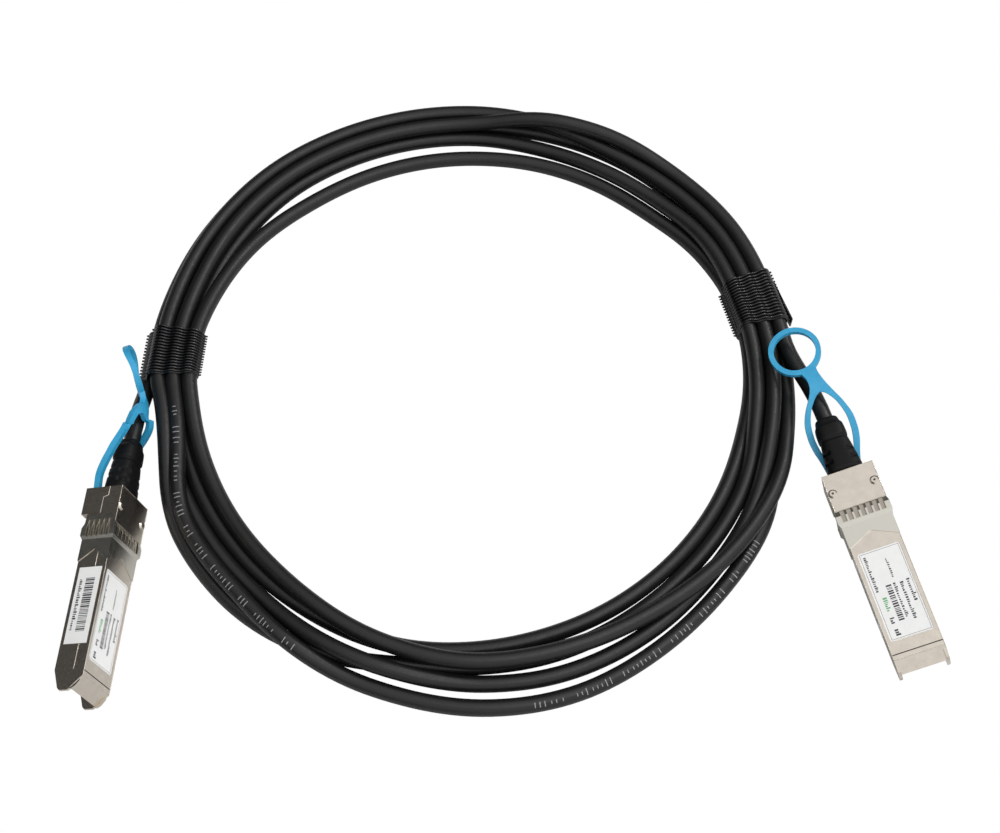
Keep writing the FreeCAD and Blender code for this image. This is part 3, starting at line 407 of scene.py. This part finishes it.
def make_materials():
    """Make every material that the object shows."""
    made = {}

    jacket, shader = new_material("cable_jacket", (0.006, 0.006, 0.0062), 0.36, specular=0.4)
    vary(jacket, shader, noise(jacket, 900), "Roughness", 0.34, 0.46)
    vary(jacket, shader, noise(jacket, 60, 2), "Base Color", (0.006, 0.0062, 0.006), (0.0095, 0.0095, 0.009))
    roughen(jacket, shader, noise(jacket, 1800, 2), 0.00002)
    made["cable_jacket"] = jacket

    tie, shader = new_material("tie_nylon", (0.004, 0.004, 0.0042), 0.14, specular=0.5)
    vary(tie, shader, noise(tie, 1200), "Roughness", 0.12, 0.17)
    made["tie_nylon"] = tie

    mould, shader = new_material("black_moulding", (0.005, 0.005, 0.0052), 0.5, specular=0.18)
    vary(mould, shader, noise(mould, 2600), "Roughness", 0.44, 0.56)
    roughen(mould, shader, noise(mould, 4000, 3), 0.00003)
    made["black_moulding"] = mould

    blue, shader = new_material("blue_elastomer", (0.035, 0.36, 0.62), 0.42, specular=0.4)
    vary(blue, shader, noise(blue, 300, 2), "Base Color", (0.03, 0.34, 0.60), (0.042, 0.385, 0.65))
    vary(blue, shader, noise(blue, 1500), "Roughness", 0.36, 0.48)
    shader.inputs["Subsurface Weight"].default_value = 0.15
    shader.inputs["Subsurface Radius"].default_value = (0.0004, 0.0008, 0.001)
    roughen(blue, shader, noise(blue, 3000, 2), 0.000015)
    made["blue_elastomer"] = blue

    casting, shader = new_material("nickel_casting", (0.64, 0.58, 0.50), 0.3, metallic=1.0)
    vary(casting, shader, noise(casting, 1500, 3), "Roughness", 0.2, 0.27)
    vary(casting, shader, noise(casting, 420, 4), "Base Color", (0.61, 0.555, 0.485), (0.68, 0.62, 0.545))
    roughen(casting, shader, noise(casting, 1400, 3), 0.000006)
    made["nickel_casting"] = casting

    sheet, shader = new_material("plated_sheet", (0.62, 0.60, 0.54), 0.24, metallic=1.0)
    vary(sheet, shader, noise(sheet, 500, 3), "Roughness", 0.2, 0.27)
    roughen(sheet, shader, noise(sheet, 900, 2), 0.000003)
    made["plated_sheet"] = sheet

    # Darker copy of the casting colour: painted shade on the casting seen through the shield's windows
    painted_casting, shader = new_material("casting_painted_shade", (0.40, 0.36, 0.31), 0.36, metallic=1.0)
    vary(painted_casting, shader, noise(painted_casting, 1500, 3), "Roughness", 0.3, 0.42)
    made["casting_painted_shade"] = painted_casting

    # Dark colour of the painted shade in the hood's groove and in the rivets' pits
    recess_shade, shader = new_material("painted_recess_shade", (0.05, 0.045, 0.04), 0.5)
    vary(recess_shade, shader, noise(recess_shade, 2500, 3), "Roughness", 0.42, 0.58)
    made["painted_recess_shade"] = recess_shade

    paper, shader = new_material("label_paper", (0.88, 0.88, 0.87), 0.38, specular=0.4)
    vary(paper, shader, noise(paper, 400, 3), "Base Color", (0.86, 0.86, 0.85), (0.90, 0.90, 0.89))
    roughen(paper, shader, noise(paper, 5000, 2), 0.000006)
    made["label_paper"] = paper

    ink, shader = new_material("label_ink", (0.03, 0.03, 0.035), 0.5)
    vary(ink, shader, noise(ink, 3000, 2), "Roughness", 0.45, 0.6)
    made["label_ink"] = ink

    green, shader = new_material("label_green", (0.10, 0.42, 0.16), 0.5)
    vary(green, shader, noise(green, 3000, 2), "Roughness", 0.45, 0.6)
    made["label_green"] = green

    board, shader = new_material("circuit_board", (0.02, 0.12, 0.06), 0.35)
    vary(board, shader, noise(board, 800, 3), "Base Color", (0.018, 0.11, 0.05), (0.03, 0.15, 0.08))
    made["circuit_board"] = board

    gold, shader = new_material("gold_contacts", (0.83, 0.62, 0.25), 0.22, metallic=1.0)
    vary(gold, shader, noise(gold, 2000, 2), "Roughness", 0.18, 0.3)
    made["gold_contacts"] = gold

    potting, shader = new_material("clear_grey_potting", (0.36, 0.35, 0.33), 0.3)
    vary(potting, shader, noise(potting, 600, 3), "Base Color", (0.32, 0.31, 0.29), (0.42, 0.41, 0.38))
    made["clear_grey_potting"] = potting

    wire, shader = new_material("wire_insulation", (0.55, 0.60, 0.66), 0.35)
    vary(wire, shader, noise(wire, 900, 2), "Roughness", 0.3, 0.42)
    made["wire_insulation"] = wire

    marks, shader = new_material("jacket_marks", (0.34, 0.34, 0.34), 0.6)
    vary(marks, shader, noise(marks, 4000, 3), "Base Color", (0.17, 0.17, 0.17), (0.36, 0.36, 0.36))
    made["jacket_marks"] = marks
    return made


MATERIALS = make_materials()


def dress_frame():
    """Give every CAD node the material that its record slot names."""
    slots = {part["node"]: part["material_slot"] for part in frame["record"]["subparts"]}
    for name, node in frame["nodes"].items():
        for slot in node.material_slots:
            slot.material = MATERIALS[slots[name]]


# ---------------------------------------------------------------- cable
def step_count(angles):
    """Return the number of steps between the cord's points in one half turn."""
    return round((angles[0] - angles[-1]) / POINT_STEP)


def half_turn_points(angles, places):
    """Return the points of one half turn, evenly spaced in angle."""
    table = [(-angle, *place) for angle, place in zip(angles, places)]
    count = step_count(angles)
    points = []
    for k in range(count + 1):
        angle = angles[0] + (angles[-1] - angles[0]) * k / count
        points.append(coil_point(angle, *smooth(table, -angle)))
    return points


def from_centre(place):
    """Return a place given from the coil's centre, in metres."""
    return Vector((COIL_X + place[0], COIL_Y + place[1], place[2])) * MM


def cord_points():
    """Return the cord's control points, from connector A round the coil to connector B."""
    end_a, end_b = [[PLACES[tag] @ Vector((0, BOOT_END + more, CABLE_Z)) for more in (0, EXIT_L)]
                    for tag in "ab"]
    points = end_a + [from_centre(LEAD_A), coil_point(*LEAD_A_EXIT)]
    for angles, places in HALF_TURNS:
        points += half_turn_points(angles, places)
    return points + [coil_point(*LEAD_B_EXIT), from_centre(LEAD_B)] + end_b[::-1]


def make_cord():
    """Make the whole cable as one smooth spline."""
    points = cord_points()
    curve = bpy.data.curves.new("cable", "CURVE")
    curve.dimensions = "3D"
    curve.bevel_depth = CABLE_R * MM
    curve.bevel_resolution = CORD_SIDES
    curve.resolution_u = CORD_STEPS
    spline = curve.splines.new("NURBS")
    spline.points.add(len(points) - 1)
    for knot, point in zip(spline.points, points):
        knot.co = (*point, 1)
    spline.order_u = 3
    spline.use_endpoint_u = True
    curve.materials.append(MATERIALS["cable_jacket"])
    cable = bpy.data.objects.new("cable", curve)
    bpy.context.scene.collection.objects.link(cable)
    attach(cable, ROOT)
    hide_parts("cable_coil", "lead_a", "lead_b")
    return cable, points


def marked_line(points):
    """Return the cable's true middle line where it carries marks, as closely spaced points."""
    counts = [step_count(half_turn[0]) + 1 for half_turn in HALF_TURNS]
    first = LEAD_POINTS + sum(counts[:MARKED_HALF_TURN])
    line = []
    for i in range(first, first + counts[MARKED_HALF_TURN]):
        before, here, after = points[i - 1], points[i], points[i + 1]
        for k in range(MARK_STEPS):
            t = k / MARK_STEPS
            line.append(before * (0.5 * (1 - t) ** 2) + here * (0.5 + t - t * t) + after * (0.5 * t * t))
    return line


def make_marks(points):
    """Print short pale strokes along the jacket, in groups like words but with no lettering."""
    line = marked_line(points)
    draw = random.Random(MARK_SEED)
    corners, faces = [], []
    travelled, next_mark, left_in_word = 0.0, 0.0, FIRST_WORD
    for here, there in zip(line, line[1:]):
        travelled += (there - here).length / MM
        angle = math.degrees(math.atan2(here.y / MM - COIL_Y, here.x / MM - COIL_X))
        if travelled < next_mark or not any(low <= angle <= high for high, low in MARK_SPANS):
            continue
        left_in_word -= 1
        next_mark = travelled + MARK_PITCH * draw.uniform(*MARK_SPREAD)
        if left_in_word < 1:
            left_in_word = draw.randint(*WORD_STROKES)
            next_mark += WORD_SPACE * MARK_PITCH
        height = MARK_HEIGHT * draw.choice(MARK_HEIGHTS)
        add_stroke(corners, faces, here, (there - here).normalized(), height)
    marks = mesh_piece("jacket_marks", corners, faces, MATERIALS["jacket_marks"])
    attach(marks, ROOT)
    return marks


def add_stroke(corners, faces, centre, way, height):
    """Add one stroke that wraps over the jacket on the side that faces up and forward."""
    facing = Vector(MARK_FACING)
    up = (facing - way * facing.dot(way)).normalized()
    across = way.cross(up)
    first = len(corners)
    for k in range(MARK_SIDES + 1):
        turn = (k / MARK_SIDES - 0.5) * height / CABLE_R
        spoke = up * math.cos(turn) + across * math.sin(turn)
        for side in (-0.5, 0.5):
            corners.append(centre + (spoke * (CABLE_R + MARK_LIFT) + way * (side * MARK_STROKE)) * MM)
    for k in range(MARK_SIDES):
        a = first + 2 * k
        faces.append((a, a + 1, a + 3, a + 2))


# ---------------------------------------------------------------- ties
def tie_outline(corners):
    """Return (place, outward direction, dip) round a bundle whose corner strands are given."""
    outline = []
    count = len(corners)
    for i in range(count):
        here, there = Vector(corners[i]), Vector(corners[(i + 1) % count])
        before = Vector(corners[i - 1])
        way = (there - here).normalized()
        last_way = (here - before).normalized()
        first, last = math.atan2(-last_way.x, last_way.y), math.atan2(-way.x, way.y)
        while last < first:
            last += 2 * math.pi
        steps = max(2, round((last - first) / TIE_TURN_STEP))
        for k in range(steps):
            turn = first + (last - first) * k / steps
            outline.append((here, Vector((math.cos(turn), math.sin(turn))), 0.0))
        length = (there - here).length
        steps = max(4, round(length / TIE_RUN_STEP))
        outward = Vector((math.cos(last), math.sin(last)))
        for k in range(steps):
            run = length * k / steps
            dip = 0.5 - 0.5 * math.cos(2 * math.pi * run / CABLE_D)
            outline.append((here + way * run, outward, dip))
    return outline


def rib_height(t):
    """Return the height of the ribs, from 0 to 1, at a fraction of the tie's width."""
    from_crest = abs((t * TIE_RIBS) % 1.0 - 0.5) / TIE_RIB_SHARE
    return max(0.0, 1.0 - from_crest ** TIE_RIB_POWER) ** (1 / TIE_RIB_POWER)


def tie_point(angles, t, out, height):
    """Return the point at a fraction of a tie's width, a distance outside the coil's inner edge."""
    start, end = [coil_point(angle, out, height) for angle in angles]
    return start.lerp(end, t)


def add_teeth(points, faces, angles, corner, way):
    """Add the row of teeth in which the ribs stand out from one edge of a tie."""
    out, height = corner
    for k in range(TIE_RIBS):
        tooth = []
        for reach, half in (TOOTH_FOOT, TOOTH_TIP):
            for step, lift in ((-1, -1), (1, -1), (1, 1), (-1, 1)):
                t = (k + 0.5 + step * TOOTH_SHARE) / TIE_RIBS
                tooth.append(tie_point(angles, t, out + way * (CABLE_R + reach), height + lift * half))
        add_block(points, faces, tooth)


def add_free_end(points, faces, angles, corner):
    """Add a tie's free end, a thin plate that parts from the outer edge at a small angle."""
    low, high = FREE_END_Z
    out = corner[0] + CABLE_R
    add_block(points, faces, [
        tie_point(angles, t, out + reach + deep, height)
        for t, reach in FREE_END_RUN
        for deep, height in ((0, low), (FREE_END_T, low), (FREE_END_T, high), (0, high))])


def make_tie(name, node, angles, corners, free_end=False):
    """Make one ribbed tie that hugs its bundle of strands."""
    outline = tie_outline(corners)
    columns = TIE_RIBS * TIE_RIB_STEPS + 1
    points = []
    for layer in ("outer", "inner"):
        for i in range(columns):
            t = i / (columns - 1)
            for centre, outward, dip in outline:
                rib = TIE_RIB * (1 - TIE_SIDE_DROP * abs(outward.x)) * rib_height(t)
                rise = TIE_CORE + rib if layer == "outer" else TIE_INSIDE
                place = centre + outward * (CABLE_R + rise - TIE_DIP * dip)
                points.append(tie_point(angles, t, place.x, place.y))
    around = len(outline)
    faces = tube_faces(columns, around)
    inner = columns * around
    faces += [tuple(inner + v for v in face[::-1]) for face in faces]
    for column in (0, columns - 1):
        for j in range(around):
            a, b = column * around + j, column * around + (j + 1) % around
            faces.append((a, b, inner + b, inner + a))
    for corner, way in zip(corners, (-1, 1, 1, -1)):
        add_teeth(points, faces, angles, corner, way)
    if free_end:
        add_free_end(points, faces, angles, corners[2])
    tie = mesh_piece(name, points, faces, MATERIALS["tie_nylon"])
    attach(tie, ROOT)
    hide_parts(node)
    return tie


# ---------------------------------------------------------------- pull tabs
def half_widths(at):
    """Return the pull tab's outer and inner half width at a distance along it."""
    along = at - RING_AT
    ring = math.sqrt(max(RING_R ** 2 - along ** 2, 0.0))
    hole = math.sqrt(max(RING_HOLE_R ** 2 - along ** 2, 0.0))
    outer = smooth(TAB_OUTER, at)[0] if at < TAB_OUTER[-1][0] else ring
    inner = smooth(TAB_INNER, at)[0] if at < TAB_INNER[-1][0] else hole
    return outer, inner


def tab_frame(line, at):
    """Return the middle point, the width direction and the thickness direction at a distance."""
    x, y, z, twist = smooth(line, at)
    ahead = Vector(smooth(line, at + TAB_REACH)[:3])
    behind = Vector(smooth(line, at - TAB_REACH)[:3])
    way = (ahead - behind).normalized()
    across = (Vector((1, 0, 0)) - way * way.x).normalized()
    up = across.cross(way)
    turn = math.radians(twist)
    side = across * math.cos(turn) + up * math.sin(turn)
    return Vector((x, SLIDER_END + y, z)), side, side.cross(way)


def tab_stations():
    """Return the distances along the tab at which it is drawn, closer together round the ring."""
    stations = {round(TAB_STEP * k, 3) for k in range(TAB_STEPS)} | TAB_FORK
    for k in range(1, RING_STEPS):
        turn = math.pi * k / RING_STEPS
        stations.add(round(RING_AT - RING_R * math.cos(turn), 3))
        stations.add(round(RING_AT - RING_HOLE_R * math.cos(turn), 3))
    stations |= {RING_AT - RING_HOLE_R, RING_AT + RING_HOLE_R, RING_AT + RING_R - RING_TIP}
    return sorted(stations)


def make_pull_tab(tag):
    """Make one soft pull tab: two arms round the strain relief, a strap and a finger ring."""
    rows = []
    for at in tab_stations():
        outer, inner = half_widths(at)
        middle, side, up = tab_frame(TAB_LINES[tag], at)
        half = smooth(TAB_THICK, at)[0] / 2
        widths = (-outer, -inner, inner, outer)
        rows.append([middle + side * w + up * h for h in (half, -half) for w in widths])
    points = [PLACES[tag] @ point for row in rows for point in row]
    size = len(rows[0])
    faces = []
    for i, (row, following) in enumerate(zip(rows, rows[1:])):
        a, b = size * i, size * (i + 1)
        for k in (0, 2):
            faces.append((a + k, a + k + 1, b + k + 1, b + k))
            faces.append((a + k + 4, b + k + 4, b + k + 5, a + k + 5))
        opened = (row[1] - row[2]).length > SAME or (following[1] - following[2]).length > SAME
        for k in range(4):
            if k in (0, 3) or opened:
                faces.append((a + k, b + k, b + k + 4, a + k + 4))
    for a in (0, size * (len(rows) - 1)):
        for k in (0, 2):
            faces.append((a + k, a + k + 1, a + k + 5, a + k + 4))
    tab = mesh_piece("finger_tab_" + tag, points, faces, MATERIALS["blue_elastomer"])
    round_edges(tab, TAB_EDGE_R * MM, TAB_EDGE_STEPS, TAB_EDGE_ANGLE)
    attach(tab, "release_" + tag)
    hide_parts("pull_tab_" + tag)


# ---------------------------------------------------------------- printing on the labels
def dashes(start, end, dash, draw):
    """Split a row into short bars of varied width."""
    low, high, gap = dash
    bars = []
    at = start
    while at < end - low:
        width = min(draw.uniform(low, high), end - at)
        bars.append((at, at + width))
        at += width + gap * draw.uniform(*GAP_SPREAD)
    return bars


def row_marks(row, draw):
    """Return the small bars that stand for one line of print, as (across, along) limits."""
    across, start, end, height = row
    marks = []
    for along in dashes(start, end, TEXT_DASH, draw):
        short = height * draw.choice(TEXT_HEIGHTS)
        marks.append((across - height / 2, across - height / 2 + short, *along))
    return marks


def bar_marks(row, draw):
    """Return the bars of a plain striped block, as (across, along) limits."""
    across, start, end, height = row
    low, high = across - height / 2, across + height / 2
    return [(low, high, *along) for along in dashes(start, end, STRIPE_DASH, draw)]


def rim_marks():
    """Return the thin printed rim round the main label, as (across, along) limits."""
    inset, line = LABEL_RIM
    width, length = -2 * LABEL_X0, LABEL_TAIL_Y - LABEL_FRONT_Y
    near, far = inset, width - inset
    first, last = inset, length - inset
    return [(near, near + line, first, last), (far - line, far, first, last),
            (near, far, first, first + line), (near, far, last - line, last)]


def on_main_label(across, along):
    """Return the point just above the main label at a distance across it and along it."""
    return Vector((LABEL_X0 + across, LABEL_TAIL_Y - along, LABEL_FACE_Z + INK_LIFT))


def on_side_label(across, along):
    """Return the point just outside the side label at a distance across it and along it."""
    return Vector((SIDE_FACE_X - INK_LIFT, SIDE_TAIL_Y - along, SIDE_Z0 + across))


def print_piece(name, tag, marks, on_label, material):
    """Make one mesh of flat bars on a label."""
    points, faces = [], []
    for low, high, start, end in marks:
        corners = ((low, start), (high, start), (high, end), (low, end))
        add_quad(points, faces, [on_label(across, along) for across, along in corners])
    placed_piece(name, tag, points, faces, material)


def make_printing(tag):
    """Print plain bars on both labels of one connector."""
    draw = random.Random(PRINT_SEED)
    marks = [mark for row in LABEL_ROWS for mark in row_marks(row, draw)]
    marks += bar_marks(LABEL_BARS, draw) + rim_marks()
    print_piece("label_print_" + tag, tag, marks, on_main_label, "label_ink")
    print_piece("label_green_mark_" + tag, tag, row_marks(LABEL_GREEN, draw), on_main_label, "label_green")
    marks = row_marks(SIDE_ROW, draw) + bar_marks(SIDE_BARS, draw)
    print_piece("side_print_" + tag, tag, marks, on_side_label, "label_ink")


# ---------------------------------------------------------------- fine details of the castings, with painted shade in the windows, the groove and the rivet pits
def make_edges(tag):
    """Draw the worn edges and seams of one connector's castings as fine bright threads."""
    points, faces = [], []
    for run in EDGE_RUNS:
        for side in (-1, 1):
            add_thread(points, faces, [Vector((side * x, y, z)) for x, y, z in run], EDGE_R)
    for run in CROSS_RUNS:
        add_thread(points, faces, [Vector(place) for place in run], EDGE_R)
    placed_piece("casting_edges_" + tag, tag, points, faces, "nickel_casting",
                 smooth_shade=True)


def make_window_painted_shade(tag):
    """Paint the shade of the casting inside the shield's windows, as darker flat pieces just above it."""
    points, faces = [], []
    start, end = WINDOW_Y
    z = TOP_Z + SHADE_LIFT
    for k in range(WINDOWS):
        x = (k - (WINDOWS - 1) / 2) * WINDOW_PITCH
        low, high = x - WINDOW_W / 2, x + WINDOW_W / 2
        corners = ((low, start), (high, start), (high, end), (low, end))
        add_quad(points, faces, [Vector((a, b, z)) for a, b in corners])
    start, end = SIDE_WINDOW_Y
    for side in (-1, 1):
        x = side * (NOSE_W / 2 + SHADE_LIFT)
        for k in range(SIDE_WINDOWS):
            z = (NOSE_Z + TOP_Z) / 2 + (k - (SIDE_WINDOWS - 1) / 2) * SIDE_PITCH
            low, high = z - SIDE_W / 2, z + SIDE_W / 2
            corners = ((start, low), (end, low), (end, high), (start, high))
            add_quad(points, faces, [Vector((x, a, b)) for a, b in corners])
    placed_piece("shield_window_painted_shade_" + tag, tag, points, faces, "casting_painted_shade")


def make_painted_shade(tag):
    """Paint the shade in the groove across the hood and in the pit of each rivet, as dark flat pieces."""
    points, faces = [], []
    start, end, z = GROOVE_SHADE
    half = NOSE_W / 2
    corners = ((-half, start), (half, start), (half, end), (-half, end))
    add_quad(points, faces, [Vector((x, y, z)) for x, y in corners])
    for side in (-1, 1):
        centre = Vector((side * RIVET_X, RIVET_Y, RIVET_Z + PIT_LIFT))
        add_ring(points, faces, centre, PIT_HOLE_R, PIT_R)
    placed_piece("casting_painted_shadows_" + tag, tag, points, faces, "painted_recess_shade")


# ---------------------------------------------------------------- strain reliefs
def boot_outline(at):
    """Return the points round the strain relief at a distance beyond the body."""
    wide, high = smooth(BOOT, at)
    points = []
    for k in range(BOOT_SIDES):
        turn = 2 * math.pi * k / BOOT_SIDES
        c, s = math.cos(turn), math.sin(turn)
        reach = (abs(c) ** BOOT_POWER + abs(s) ** BOOT_POWER) ** (-1 / BOOT_POWER)
        x, z = wide * reach * c, high * reach * s
        notched = any(start <= at <= start + NOTCH_W and z * way > NOTCH_Z for start, way in NOTCHES)
        if notched and abs(x) > NOTCH_X:
            x, z = x * NOTCH_KEEP, z * NOTCH_KEEP
        points.append(Vector((x, BODY_L + at, CABLE_Z + z)))
    return points


def make_boot(tag):
    """Make one moulded strain relief: rings at its foot, staggered notches and a round collar."""
    last = BOOT[-1][0]
    steps = round(last / BOOT_STEP)
    rows = [boot_outline(last * k / steps) for k in range(steps + 1)]
    points = [PLACES[tag] @ point for row in rows for point in row]
    faces = tube_faces(len(rows), BOOT_SIDES)
    faces += [tuple(range(BOOT_SIDES)), tuple(range(len(points) - 1, len(points) - BOOT_SIDES - 1, -1))]
    boot = mesh_piece("boot_" + tag, points, faces, MATERIALS["black_moulding"])
    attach(boot, ROOT)
    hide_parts("strain_relief_" + tag)


# ---------------------------------------------------------------- stage, light and camera
def make_stage():
    """Make the plain white floor: white to the camera, plain matt to everything else."""
    bpy.ops.mesh.primitive_plane_add(size=FLOOR_SIZE, location=(0, 0, FLOOR_Z))
    floor = bpy.context.object
    floor.name = "floor"
    material = bpy.data.materials.new("floor_white")
    material.use_nodes = True
    nodes, links = material.node_tree.nodes, material.node_tree.links
    nodes.clear()
    output = nodes.new("ShaderNodeOutputMaterial")
    blend = nodes.new("ShaderNodeMixShader")
    path = nodes.new("ShaderNodeLightPath")
    matt = nodes.new("ShaderNodeBsdfDiffuse")
    matt.inputs["Color"].default_value = (FLOOR_GREY, FLOOR_GREY, FLOOR_GREY, 1)
    white = nodes.new("ShaderNodeEmission")
    white.inputs["Color"].default_value = (1, 1, 1, 1)
    links.new(path.outputs["Is Camera Ray"], blend.inputs["Fac"])
    links.new(matt.outputs["BSDF"], blend.inputs[1])
    links.new(white.outputs["Emission"], blend.inputs[2])
    links.new(blend.outputs["Shader"], output.inputs["Surface"])
    floor.data.materials.append(material)


def add_lamp(name, size, power, place):
    """Add one soft rectangular lamp that faces the object."""
    data = bpy.data.lights.new(name, "AREA")
    data.shape = "RECTANGLE"
    data.size, data.size_y = size
    data.energy = power
    lamp = bpy.data.objects.new(name, data)
    lamp.location = place
    lamp.rotation_euler = (Vector(LAMP_TARGET) - Vector(place)).to_track_quat("-Z", "Y").to_euler()
    bpy.context.scene.collection.objects.link(lamp)


def make_light():
    """Light the object with two lamps and a sky that is bright overhead and dark low on the left."""
    world = bpy.data.worlds.new("sky")
    world.use_nodes = True
    nodes, links = world.node_tree.nodes, world.node_tree.links
    place = nodes.new("ShaderNodeTexCoord")
    slant = nodes.new("ShaderNodeVectorMath")
    slant.operation = "DOT_PRODUCT"
    slant.inputs[1].default_value = SKY_SLANT
    spread = nodes.new("ShaderNodeMapRange")
    spread.interpolation_type = "SMOOTHSTEP"
    for name, value in zip(SPREAD_INPUTS, SKY_RANGE):
        spread.inputs[name].default_value = value
    background = nodes["Background"]
    background.inputs["Color"].default_value = (1, 1, 1, 1)
    links.new(place.outputs["Generated"], slant.inputs[0])
    links.new(slant.outputs["Value"], spread.inputs["Value"])
    # To the camera the sky is plain white
    path = nodes.new("ShaderNodeLightPath")
    plain = nodes.new("ShaderNodeMath")
    plain.operation = "MAXIMUM"
    links.new(path.outputs["Is Camera Ray"], plain.inputs[0])
    links.new(spread.outputs["Result"], plain.inputs[1])
    links.new(plain.outputs["Value"], background.inputs["Strength"])
    bpy.context.scene.world = world
    for lamp in LAMPS:
        add_lamp(*lamp)


def make_camera():
    """Look down at the part from in front."""
    data = bpy.data.cameras.new("camera")
    data.sensor_width = CAMERA_SENSOR
    data.lens = CAMERA_LENS
    data.clip_start = CAMERA_NEAR
    camera = bpy.data.objects.new("camera", data)
    aim = Vector(CAMERA_AIM) * MM
    distance, elevation = CAMERA_DISTANCE * MM, math.radians(CAMERA_ELEVATION)
    camera.location = aim + Vector((0, -math.cos(elevation), math.sin(elevation))) * distance
    camera.rotation_euler = (math.radians(90) - elevation, 0, 0)
    bpy.context.scene.collection.objects.link(camera)
    bpy.context.scene.camera = camera


# ---------------------------------------------------------------- put together
def main():
    """Build the whole scene."""
    scene = bpy.context.scene
    scene.view_settings.view_transform = "Standard"
    dress_frame()
    cable, route = make_cord()
    ties = [make_tie("ribbed_tie_left", "tie_left", *TIE_LEFT),
            make_tie("ribbed_tie_right", "tie_right", *TIE_RIGHT, free_end=True)]
    marks = make_marks(route)
    for tag in "ab":
        make_pull_tab(tag)
        make_boot(tag)
        make_printing(tag)
        make_edges(tag)
        make_window_painted_shade(tag)
        make_painted_shade(tag)
    make_stage()
    make_light()
    make_camera()


main()
